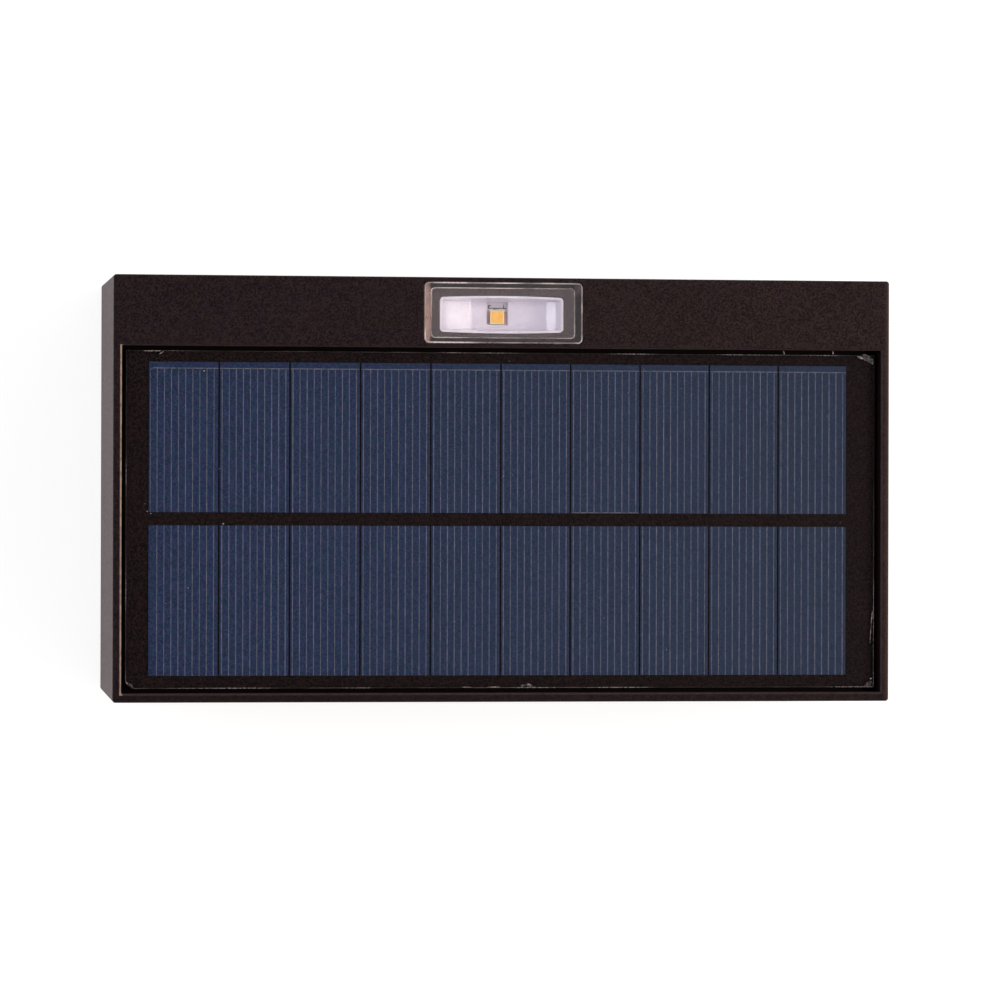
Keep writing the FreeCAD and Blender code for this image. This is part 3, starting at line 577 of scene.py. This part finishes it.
def moulded_glass(name):
    """Clear moulded plastic that bends what lies behind it. Lamps shine through it."""
    material, tree, coords = start_finish(name)
    ripple = noise(tree, coords, 6.0, 2.0)
    scuffs = noise(tree, coords, 0.5, 4.0, 0.7)
    glass = add(tree, "BsdfGlass", {"Color": (0.985, 0.98, 0.985, 1.0),
                                    "Roughness": remap(tree, scuffs, 0.3, 0.75, 0.0, 0.04), "IOR": 1.49,
                                    "Normal": bump(tree, ripple, 0.003, 0.2)})
    haze = add(tree, "BsdfDiffuse", {"Color": (0.80, 0.70, 0.74, 1.0)})
    hazy = add(tree, "MixShader", {0: remap(tree, scuffs, 0.35, 0.7, 0.03, 0.065), 1: glass.outputs[0],
                                   2: haze.outputs[0]})
    through = add(tree, "BsdfTransparent", {"Color": (0.95, 0.95, 0.95, 1.0)})
    shadow = add(tree, "LightPath").outputs["Is Shadow Ray"]
    end_material(tree, add(tree, "MixShader", {0: shadow, 1: hazy.outputs[0], 2: through.outputs[0]}))
    return material


def frosted_rim_and_glint(name):
    """The lens's rounded edges: a frost whose pale colour is partly a painted highlight, catching the light
    in some stretches more than in others.
    """
    material, tree, coords = start_finish(name)
    stretches = noise(tree, coords, 7.0, 2.0)
    chips = noise(tree, coords, 0.4, 3.0, 0.7)
    shade = times(tree, remap(tree, stretches, 0.38, 0.66, 0.35, 1.0), remap(tree, chips, 0.3, 0.6, 0.6, 1.0))
    frost = add(tree, "BsdfDiffuse", {"Color": mix_colour(tree, shade, (0.16, 0.14, 0.15),
                                                          (0.80, 0.70, 0.70))})
    clear = add(tree, "BsdfTransparent", {"Color": (0.9, 0.88, 0.89, 1.0)})
    end_material(tree, add(tree, "MixShader", {0: remap(tree, shade, 0.2, 1.0, 0.45, 0.95),
                                               1: clear.outputs[0], 2: frost.outputs[0]}))
    return material


def reflector_white(name):
    """Polished white moulding, a little blue."""
    material, tree, coords = start_finish(name)
    flow = noise(tree, coords, 3.0, 3.0)
    fine = noise(tree, coords, 0.25, 3.0)
    colour = mix_colour(tree, remap(tree, flow, 0.3, 0.7), (0.71, 0.68, 0.79), (0.79, 0.76, 0.86))
    rough = remap(tree, fine, 0.3, 0.7, 0.05, 0.10)
    end_material(tree, principled(tree, {"Base Color": colour, "Roughness": rough,
                                         "Normal": bump(tree, fine, 0.002, 0.3, soft_edges(tree, 0.12)),
                                         "Specular IOR Level": 0.7}))
    return material


def led_phosphor(name):
    material, tree, coords = start_finish(name)
    grains = noise(tree, coords, 0.12, 4.0, 0.7)
    clouds = noise(tree, coords, 0.9, 2.0)
    shade = math_node(tree, "ADD", times(tree, grains, 0.5), times(tree, clouds, 0.5))
    colour = mix_colour(tree, remap(tree, shade, 0.35, 0.65), (1.0, 0.44, 0.012), (1.0, 0.60, 0.07))
    end_material(tree, principled(tree, {"Base Color": colour,
                                         "Roughness": remap(tree, grains, 0.3, 0.7, 0.3, 0.5),
                                         "Normal": bump(tree, grains, 0.01, 0.5),
                                         "Coat Weight": 0.4, "Coat Roughness": 0.15}))
    return material


def shrink_wrap(name):
    """Thin glossy wrap over a can, with faint cross ripples."""
    material, tree, coords = start_finish(name)
    drawn = add(tree, "Mapping", {"Vector": coords, "Scale": (3.0, 0.4, 0.4)}).outputs[0]
    ripples = noise(tree, drawn, 2.5, 2.0)
    tint = noise(tree, coords, 12.0, 2.0)
    colour = mix_colour(tree, remap(tree, tint, 0.3, 0.7), (0.05, 0.17, 0.42), (0.09, 0.26, 0.56))
    end_material(tree, principled(tree, {"Base Color": colour,
                                         "Roughness": remap(tree, ripples, 0.3, 0.7, 0.22, 0.36),
                                         "Normal": bump(tree, ripples, 0.03, 0.4, soft_edges(tree, 0.4)),
                                         "Coat Weight": 0.5}))
    return material


def insulation(name, dark, light):
    material, tree, coords = start_finish(name)
    scuffs = noise(tree, coords, 0.8, 4.0)
    colour = mix_colour(tree, remap(tree, scuffs, 0.35, 0.7), dark, light)
    end_material(tree, principled(tree, {"Base Color": colour,
                                         "Roughness": remap(tree, scuffs, 0.3, 0.7, 0.35, 0.5),
                                         "Normal": bump(tree, scuffs, 0.015, 0.4)}))
    return material


# Handling marks on the cells: x, y, length and width in millimetres, and turn in degrees.
SMUDGES = (
    (-39.0, -34.0, 2.2, 1.6, 20.0),
    (-21.9, -29.6, 6.5, 0.55, 18.0),
    (-24.6, -40.5, 4.0, 0.9, -12.0),
    (-15.6, -36.9, 3.0, 0.8, 30.0),
    (33.0, -30.0, 2.6, 1.1, 65.0),
    (55.2, -62.0, 1.7, 0.9, 10.0),
)


def make_finishes():
    """One material for each slot of the record."""
    return {
        "black_plastic": housing_plastic("black_plastic_finish"),
        "button_plastic": moulded_plastic("button_plastic_finish", (0.020, 0.020, 0.021), (0.030, 0.029, 0.030),
                                          (0.07, 0.07, 0.07), 0.38, 0.4, 0.3, 0.02),
        "connector_plastic": moulded_plastic("connector_plastic_finish", (0.60, 0.56, 0.43), (0.70, 0.66, 0.54),
                                             (0.78, 0.75, 0.65), 0.42, 0.4, 0.4, 0.01),
        "black_epoxy": moulded_plastic("black_epoxy_finish", (0.012, 0.012, 0.012), (0.022, 0.022, 0.022),
                                       (0.05, 0.05, 0.05), 0.55, 0.3, 0.2, 0.02),
        "ferrite": moulded_plastic("ferrite_finish", (0.055, 0.055, 0.058), (0.10, 0.10, 0.10),
                                   (0.2, 0.2, 0.2), 0.6, 0.4, 0.25, 0.03),
        "led_plastic": moulded_plastic("led_plastic_finish", (0.82, 0.70, 0.40), (0.90, 0.82, 0.55),
                                       (0.92, 0.88, 0.70), 0.35, 0.4, 0.3, 0.005),
        "seal_rubber": rubber("seal_rubber_finish", (0.028, 0.028, 0.030), (0.055, 0.055, 0.057), 0.62),
        "screw_steel": plated_metal("screw_steel_finish", (0.60, 0.60, 0.60), (0.34, 0.34, 0.35), 0.34, 0.25),
        "solder": plated_metal("solder_finish", (0.70, 0.70, 0.71), (0.42, 0.42, 0.44), 0.3, 0.8),
        "copper": plated_metal("copper_finish", (0.50, 0.27, 0.22), (0.28, 0.16, 0.15), 0.45, 0.2),
        "contact_metal": plated_metal("contact_metal_finish", (0.70, 0.68, 0.64), (0.45, 0.44, 0.42),
                                      0.28, 0.3),
        "spring_steel": plated_metal("spring_steel_finish", (0.62, 0.62, 0.63), (0.40, 0.40, 0.42), 0.25, 0.15),
        "foam_tape": foam("foam_tape_finish", (0.48, 0.47, 0.44), (0.74, 0.73, 0.69)),
        "panel_board": lacquered_board("panel_board_finish", (0.0004, 0.0001, 0.0002), (0.0160, 0.0062, 0.0066),
                                       0.5, 0.1),
        "white_board": lacquered_board("white_board_finish", (0.50, 0.49, 0.58), (0.60, 0.58, 0.68), 0.4, 0.4),
        "green_board": lacquered_board("green_board_finish", (0.008, 0.075, 0.028), (0.02, 0.14, 0.055),
                                       0.35, 0.5),
        "clear_resin": clear_resin("clear_resin_finish"),
        "solar_cell": solar_cell("solar_cell_finish"),
        "clear_plastic": moulded_glass("clear_plastic_finish"),
        "white_plastic": reflector_white("white_plastic_finish"),
        "led_phosphor": led_phosphor("led_phosphor_finish"),
        "battery_wrap": shrink_wrap("battery_wrap_finish"),
        "red_insulation": insulation("red_insulation_finish", (0.38, 0.012, 0.012), (0.55, 0.03, 0.025)),
        "black_insulation": insulation("black_insulation_finish", (0.012, 0.012, 0.013), (0.03, 0.03, 0.03)),
    }


def dress_nodes(finishes):
    """Gives every CAD node the finish of the slot that it was packed with."""
    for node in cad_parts.values():
        for place in node.material_slots:
            place.material = finishes[place.material.name]


# ---- panel pieces --------------------------------------------------------------------------------
def cell_boxes(row):
    names = sorted(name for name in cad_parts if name.startswith(f"cell_{row}_"))
    return [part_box(name) for name in names]


def add_line(bm, x0, x1, y0, y1, z):
    add_box(bm, Vector((x0, y0, z)), Vector((x1, y1, z + line_thickness * MM)))


def add_fingers(bm, low, high, start, rear_y):
    """The printed lines along one cell. start is the first one's distance from the cell's left edge."""
    for number in range(finger_count):
        x = low.x + (start + number * finger_pitch) * MM
        half = finger_width * MM * random.uniform(0.42, 0.58)
        if x + half < high.x:
            add_line(bm, x - half, x + half, low.y, rear_y, high.z)


def add_hook(bm, low, rear_y, z):
    """The cross line's left end, which curves round into the first cell's corner finger."""
    half = hook_width * MM / 2
    finger_x = low.x + 0.3 * MM
    radius = hook_radius * MM
    add_line(bm, finger_x - half, finger_x + half, low.y, rear_y - radius, z)
    section = [bm.verts.new((finger_x + side * half, rear_y - radius, z + rise * line_thickness * MM))
               for side, rise in ((-1, 0), (1, 0), (1, 1), (-1, 1))]
    face = bm.faces.new(section)
    bmesh.ops.spin(bm, geom=[face] + list(face.edges) + section, cent=(finger_x + radius, rear_y - radius, z),
                   axis=(0, 0, -1), angle=math.pi / 2, steps=5, use_duplicate=False)


def rear_lines(silver):
    bm = bmesh.new()
    for number, (low, high) in enumerate(cell_boxes("rear")):
        bus_y = high.y - bus_from_rear * MM
        half = bus_width * MM / 2
        if number == 0:
            add_hook(bm, low, bus_y, high.z)
            add_line(bm, low.x + (0.3 + hook_radius) * MM, high.x, bus_y - half, bus_y + half, high.z)
            add_fingers(bm, low, high, first_cell_start, bus_y - half)
        else:
            add_line(bm, low.x, high.x, bus_y - half, bus_y + half, high.z)
            add_fingers(bm, low, high, finger_start, bus_y - half)
        if number == spare_line_cell:
            add_line(bm, low.x + 0.1 * MM, high.x - 0.1 * MM, low.y, low.y + 0.2 * MM, high.z)
    return finish_piece("rear_printed_lines", bm, "light", [silver], smooth=False)


def front_lines(silver):
    bm = bmesh.new()
    for number, (low, high) in enumerate(cell_boxes("front")):
        start = first_cell_start if number == 0 else finger_start
        add_fingers(bm, low, high, start, high.y)
    return finish_piece("front_printed_lines", bm, "light", [silver], smooth=False)


def clear_sheet(finishes, edge_finish):
    """The resin over the cells, bedded on the board round them."""
    low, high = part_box("panel_sheet")
    low.z += sheet_lift * MM
    bm = bmesh.new()
    add_box(bm, low, high)
    corner = edges_where(bm, lambda a, b: is_upright(a, b) and a.x < 0 and a.y < (low.y + high.y) / 2)
    bevel(bm, corner, panel_corner * MM, 8)
    rim = edges_where(bm, lambda a, b: a.z > high.z - 1e-7 and b.z > high.z - 1e-7)
    bevel(bm, rim, sheet_rim * MM, 2)
    under = level_faces(bm, low.z, -1)
    bmesh.ops.inset_region(bm, faces=under, thickness=sheet_bed * MM, use_even_offset=True)
    cells_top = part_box("cell_rear_01")[1].z + 2 * line_thickness * MM
    raised = pulled_out(bm, under)[1]
    bmesh.ops.translate(bm, vec=(0, 0, cells_top - low.z), verts=raised)
    bm.normal_update()
    side = (high - low) / 2 - Vector((sheet_rim, sheet_rim, 0)) * MM
    for face in bm.faces:
        away = face.calc_center_median() - (low + high) / 2
        outside = abs(away.x) > side.x - 1e-6 or abs(away.y) > side.y - 1e-6
        face.material_index = 1 if outside and abs(face.normal.z) < 0.95 else 0
    sheet = finish_piece("clear_sheet", bm, "light", [finishes["clear_resin"], edge_finish])
    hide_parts("panel_sheet")
    return sheet


# Spilt glue on the panel: x, y, length and width in millimetres, turn in degrees, and height of its middle.
GLUE_SPILLS = (
    (73.9, -15.6, 2.9, 1.3, -32.0, 23.0), (74.9, -16.0, 1.6, 0.5, -80.0, 23.0),
    (-74.35, -81.05, 1.7, 0.55, -42.0, 22.96), (74.2, -81.1, 1.9, 1.1, 35.0, 22.98),
    (4.6, -81.25, 2.6, 0.7, 0.0, 22.97),
)
BRIGHT_SPILLS = (
    (72.5, -15.35, 1.5, 0.5, -18.0, 23.0), (-75.0, -80.6, 0.75, 0.32, -50.0, 22.93),
    (74.78, -79.93, 0.36, 0.34, 0.0, 23.0), (66.84, -14.45, 0.25, 0.8, 0.0, 22.98),
    (56.78, -14.45, 0.3, 0.8, 8.0, 22.98), (74.95, -67.6, 2.6, 0.22, 84.0, 23.0),
    (74.7, -70.8, 4.0, 0.12, 86.0, 23.0), (-70.0, -15.0, 3.7, 0.22, 0.0, 22.97),
    (-68.3, -15.3, 1.2, 0.18, 35.0, 23.0), (-7.3, -81.5, 2.0, 0.16, 0.0, 22.95),
    (-2.0, -81.5, 2.6, 0.2, 0.0, 22.95), (5.2, -81.0, 0.9, 0.3, -15.0, 23.0),
)
DUST_SPECKS = (
    (-59.95, -18.93, 0.30), (-70.59, -33.54, 0.22), (-56.9, -38.21, 0.22), (-62.95, -61.78, 0.2),
    (-71.1, -46.7, 0.26), (-70.4, -47.1, 0.22), (-71.5, -45.2, 0.2), (-56.06, -49.1, 0.3),
    (-19.0, -25.7, 0.2), (-18.4, -41.6, 0.2),
)


def add_spill(bm, x, y, length, width, angle, z):
    """A low drop with an uneven outline, half sunk in what carries it."""
    made = bmesh.ops.create_icosphere(bm, subdivisions=2, radius=0.5)["verts"]
    for vertex in made:
        vertex.co.xy *= random.uniform(0.8, 1.15)
    turn = Matrix.Rotation(math.radians(angle), 4, "Z")
    size = Matrix.Diagonal((length * MM, width * MM, min(width, 0.16) * MM, 1))
    bmesh.ops.transform(bm, matrix=Matrix.Translation(Vector((x, y, z)) * MM) @ turn @ size, verts=made)


def glue_and_dust(spilt, bright):
    bm = bmesh.new()
    for spill in GLUE_SPILLS:
        add_spill(bm, *spill)
    finish_piece("panel_glue_spills", bm, "light", [spilt])
    bm = bmesh.new()
    for spill in BRIGHT_SPILLS:
        add_spill(bm, *spill)
    for x, y, size in DUST_SPECKS:
        add_spill(bm, x, y, size, size * 0.9, 0.0, panel_top_z)
    low, high = (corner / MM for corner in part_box("panel_sheet"))
    for _ in range(dust_count):
        size = random.uniform(0.07, 0.15)
        x = random.uniform(low.x + 1, high.x - 1)
        y = random.uniform(low.y + 1, high.y - 1)
        add_spill(bm, x, y, size, size, 0.0, panel_top_z)
    finish_piece("panel_dust", bm, "light", [bright])


# ---- light unit pieces ---------------------------------------------------------------------------
def lens_ring(bm, faces, centre, half, wall_x, wall_y):
    """Pulls a smaller outline out of faces, in their own plane, and returns its faces and vertices."""
    inner, points = pulled_out(bm, faces)
    bmesh.ops.scale(bm, vec=(1 - wall_x * MM / half.x, 1 - wall_y * MM / half.y, 1),
                    space=Matrix.Translation(-centre), verts=points)
    return inner, points


def lens_moulding(way, facing, finishes, rim_frost_and_glint):
    """The clear cap over a light unit: a rounded top over a drafted hollow. facing is 1 up and -1 down."""
    low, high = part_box(f"{way}_lens")
    if facing > 0:
        low.z += glue_thickness * MM
    else:
        high.z -= glue_thickness * MM
    centre = (low + high) / 2
    half = (high - low) / 2
    bm = rounded_box(low, high, lens_corner * MM, lens_rim * MM, facing)
    open_z = low.z if facing > 0 else high.z
    foot = lens_ring(bm, level_faces(bm, open_z, -facing), centre, half, lens_wall_x, lens_wall_y)[0]
    roof, roof_points = pulled_out(bm, foot)
    bmesh.ops.translate(bm, vec=(0, 0, facing * (2 * half.z - lens_top * MM)), verts=roof_points)
    bmesh.ops.scale(bm, vec=(1 - lens_draft * MM / half.x, 1 - lens_draft * MM / half.y, 1),
                    space=Matrix.Translation(-centre), verts=roof_points)
    bevel(bm, list({edge for face in roof for edge in face.edges}), lens_inner_rim * MM, 2)
    bm.normal_update()
    # The rounded faces get the rim's frost, whose pale colour is partly a painted highlight.
    for face in bm.faces:
        face.material_index = 1 if 0.12 < abs(face.normal.z) < 0.975 else 0
    piece = finish_piece(f"{way}_lens_moulding", bm, "light",
                         [finishes["clear_plastic"], rim_frost_and_glint])
    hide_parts(f"{way}_lens")
    return piece


def lens_glue(way, facing, glue):
    """The glue film between a lens's foot and the ledge."""
    low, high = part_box(f"{way}_lens")
    centre = (low + high) / 2
    half = (high - low) / 2
    inset = Vector((0.1, 0.1, 0)) * MM
    if facing > 0:
        high.z = low.z + glue_thickness * MM
    else:
        low.z = high.z - glue_thickness * MM
    bm = bmesh.new()
    add_box(bm, low + inset, high - inset)
    bevel(bm, edges_where(bm, is_upright), lens_corner * MM, 6)
    mouth = lens_ring(bm, level_faces(bm, high.z, 1), centre, half, lens_wall_x + 0.1, lens_wall_y + 0.1)[0]
    ring = [face for face in level_faces(bm, high.z, 1) if face not in mouth]
    bmesh.ops.delete(bm, geom=[face for face in bm.faces if face not in ring], context="FACES")
    lower = bmesh.ops.extrude_face_region(bm, geom=bm.faces[:])["geom"]
    bmesh.ops.translate(bm, vec=(0, 0, low.z - high.z),
                        verts=[item for item in lower if isinstance(item, bmesh.types.BMVert)])
    return finish_piece(f"{way}_lens_glue", bm, "light", [glue], smooth=False)


# The tracks: left, right, front and rear edges in millimetres, from the middle of the LED package.
TRACKS = (
    (-1.75, 1.95, 1.72, 1.92), (-1.75, -1.5, 1.92, 2.45), (-1.5, -1.2, 2.25, 2.45),
    (1.25, 1.45, 1.92, 2.5), (-0.55, -0.3, 1.55, 1.72), (-0.1, 0.2, 1.62, 1.72),
)


def led_tracks(way, facing, dark):
    """The dark tracks on the board behind the LED."""
    low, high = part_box(f"{way}_led_package")
    board_low, board_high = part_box(f"{way}_led_board")
    middle = (low + high) / 2
    board_z = board_high.z if facing > 0 else board_low.z - track_thickness * MM
    bm = bmesh.new()
    for x0, x1, y0, y1 in TRACKS:
        add_box(bm, Vector((middle.x + x0 * MM, middle.y + y0 * MM, board_z)),
                Vector((middle.x + x1 * MM, middle.y + y1 * MM, board_z + track_thickness * MM)))
    return finish_piece(f"{way}_board_tracks", bm, "light", [dark], smooth=False)


# ---- button --------------------------------------------------------------------------------------
def button_cap(finishes):
    """The push button, turned: a dished face with a rounded rim, its flange and its stem."""
    low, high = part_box("power_button")
    centre = (low + high) / 2
    radius = button_radius * MM
    flange = (high.x - low.x) / 2
    stem = button_stem * MM
    face_z = low.z
    shoulder_z = face_z + button_shoulder * MM
    flange_z = shoulder_z + button_flange * MM
    rim = button_rim * MM
    outline = [(0.0, face_z + button_hollow * MM), (radius * 0.45, face_z + button_dish * MM),
               (radius - 2.2 * rim, face_z + button_lip * MM), (radius - rim, face_z),
               (radius - 0.3 * rim, face_z + 0.3 * rim), (radius, face_z + rim), (radius, shoulder_z),
               (flange, shoulder_z), (flange, flange_z), (stem, flange_z), (stem, high.z), (0.0, high.z)]
    bm = bmesh.new()
    points = [bm.verts.new((centre.x + r, centre.y, z)) for r, z in outline]
    edges = [bm.edges.new(pair) for pair in zip(points, points[1:])]
    bmesh.ops.spin(bm, geom=points + edges, cent=centre, axis=(0, 0, 1), angle=2 * math.pi, steps=64,
                   use_merge=True, use_duplicate=False)
    bmesh.ops.remove_doubles(bm, verts=bm.verts, dist=1e-6)
    piece = finish_piece("button_cap", bm, "power_button", [finishes["button_plastic"]])
    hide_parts("power_button")
    return piece


def return_spring(finishes):
    """The button's coil spring, made at one length; on the real light it shortens as the button goes in."""
    low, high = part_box("button_spring")
    centre = (low + high) / 2
    wire = spring_wire * MM
    coil = (high.x - low.x) / 2 - wire
    bm = bmesh.new()
    section = bmesh.ops.create_circle(bm, cap_ends=True, segments=8, radius=wire,
                                      matrix=Matrix.Rotation(math.pi / 2, 4, "X"))["verts"]
    bmesh.ops.translate(bm, vec=(centre.x + coil, centre.y, low.z + wire), verts=section)
    steps = spring_turns * spring_steps
    bmesh.ops.spin(bm, geom=bm.verts[:] + bm.edges[:] + bm.faces[:], cent=centre, axis=(0, 0, 1),
                   dvec=(0, 0, (high.z - low.z - 2 * wire) / steps), angle=spring_turns * 2 * math.pi,
                   steps=steps, use_duplicate=False)
    piece = finish_piece("return_spring", bm, None, [finishes["spring_steel"]])
    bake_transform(piece)
    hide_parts("button_spring")
    return piece


# ---- floor, light and camera ---------------------------------------------------------------------
def studio_floor():
    """A pale floor, white where it's lit, which keeps the object's shadow. From below it's see-through."""
    bm = bmesh.new()
    bmesh.ops.create_grid(bm, x_segments=1, y_segments=1, size=floor_half_size)
    bmesh.ops.translate(bm, vec=(0, 0, cad_low.z - floor_gap * MM), verts=bm.verts)
    mesh = bpy.data.meshes.new("floor")
    bm.to_mesh(mesh)
    bm.free()
    floor = bpy.data.objects.new("floor", mesh)
    bpy.context.scene.collection.objects.link(floor)
    material, tree = start_material("floor_finish")
    matte = add(tree, "BsdfDiffuse", {"Color": (floor_grey, floor_grey, floor_grey, 1.0)})
    glow = add(tree, "Emission", {"Strength": floor_glow})
    lit = add(tree, "AddShader", {0: matte.outputs[0], 1: glow.outputs[0]})
    clear = add(tree, "BsdfTransparent")
    end_material(tree, add(tree, "MixShader", {0: add(tree, "NewGeometry").outputs["Backfacing"],
                                               1: lit.outputs[0], 2: clear.outputs[0]}))
    mesh.materials.append(material)


def studio_world():
    """White all round, and darker overhead, so that a level glossy face stays dark."""
    world = bpy.data.worlds.new("studio")
    bpy.context.scene.world = world
    world.use_nodes = True
    tree = world.node_tree
    tree.nodes.clear()
    direction = add(tree, "TexCoord").outputs["Generated"]
    height = add(tree, "SeparateXYZ", {"Vector": direction}).outputs[2]
    level = remap(tree, height, shade_from, shade_to, sky_level, overhead_level)
    colour = mix_colour(tree, level, (0.0, 0.0, 0.0), (1.0, 1.0, 1.0))
    sky = add(tree, "Background", {"Color": colour, "Strength": 1.0})
    add(tree, "OutputWorld", {"Surface": sky.outputs[0]})


def soft_lamp(name, azimuth, elevation, distance, width, height, power, colour, mirrored=True):
    """A rectangular lamp that faces the object. Azimuth 0 is to the right of it, and 90 behind it. Glossy
    surfaces show it only if it is mirrored."""
    data = bpy.data.lights.new(name, "AREA")
    data.shape = "RECTANGLE"
    data.size = width
    data.size_y = height
    data.energy = power
    data.color = colour
    lamp = bpy.data.objects.new(name, data)
    bpy.context.scene.collection.objects.link(lamp)
    turn, rise = math.radians(azimuth), math.radians(elevation)
    away = Vector((math.cos(turn) * math.cos(rise), math.sin(turn) * math.cos(rise), math.sin(rise)))
    lamp.location = away * distance
    lamp.rotation_euler = away.to_track_quat("Z", "Y").to_euler()
    lamp.visible_glossy = mirrored


def photo_camera():
    data = bpy.data.cameras.new("camera")
    data.sensor_width = 36.0
    data.lens = camera_focal
    data.clip_start = 0.05
    camera = bpy.data.objects.new("camera", data)
    bpy.context.scene.collection.objects.link(camera)
    turn = (Matrix.Rotation(math.radians(camera_roll), 3, "Z")
            @ Matrix.Rotation(math.radians(camera_pitch), 3, "X")
            @ Matrix.Rotation(math.radians(camera_yaw), 3, "Y"))
    to_face = Vector((camera_shift_x, camera_shift_y, -camera_distance)) * MM
    face_middle = Vector((0, (cad_low.y + cad_high.y) / 2, cad_high.z))
    back = turn.transposed()
    camera.matrix_world = Matrix.Translation(face_middle - back @ to_face) @ back.to_4x4()
    bpy.context.scene.camera = camera


finishes = make_finishes()
dress_nodes(finishes)
silver = printed_silver("printed_silver")
rim_frost_and_glint = frosted_rim_and_glint("frosted_rim_and_glint")
glue_film_and_painted_light = lens_glue_and_painted_light("lens_glue_and_painted_light")
rear_lines(silver)
front_lines(silver)
clear_sheet(finishes, cut_resin_edge("cut_resin_edge"))
glue_and_dust(dried_glue("dried_glue"), bright_glue("bright_glue"))
for way, facing in (("up", 1), ("down", -1)):
    lens_moulding(way, facing, finishes, rim_frost_and_glint)
    lens_glue(way, facing, glue_film_and_painted_light)
    led_tracks(way, facing, finishes["black_epoxy"])
button_cap(finishes)
return_spring(finishes)
studio_floor()
studio_world()
soft_lamp("right_lamp", 0.0, 50.0, 1.6, 1.1, 0.6, 11.0, (1.0, 0.91, 0.83))
soft_lamp("low_lamp", 0.0, 13.0, 1.6, 0.9, 0.4, 9.0, (1.0, 0.80, 0.64))
soft_lamp("left_lamp", 172.0, 50.0, 1.6, 0.5, 0.5, 5.0, (0.97, 0.97, 1.0), mirrored=False)
photo_camera()

scene = bpy.context.scene
scene.view_settings.view_transform = "Standard"
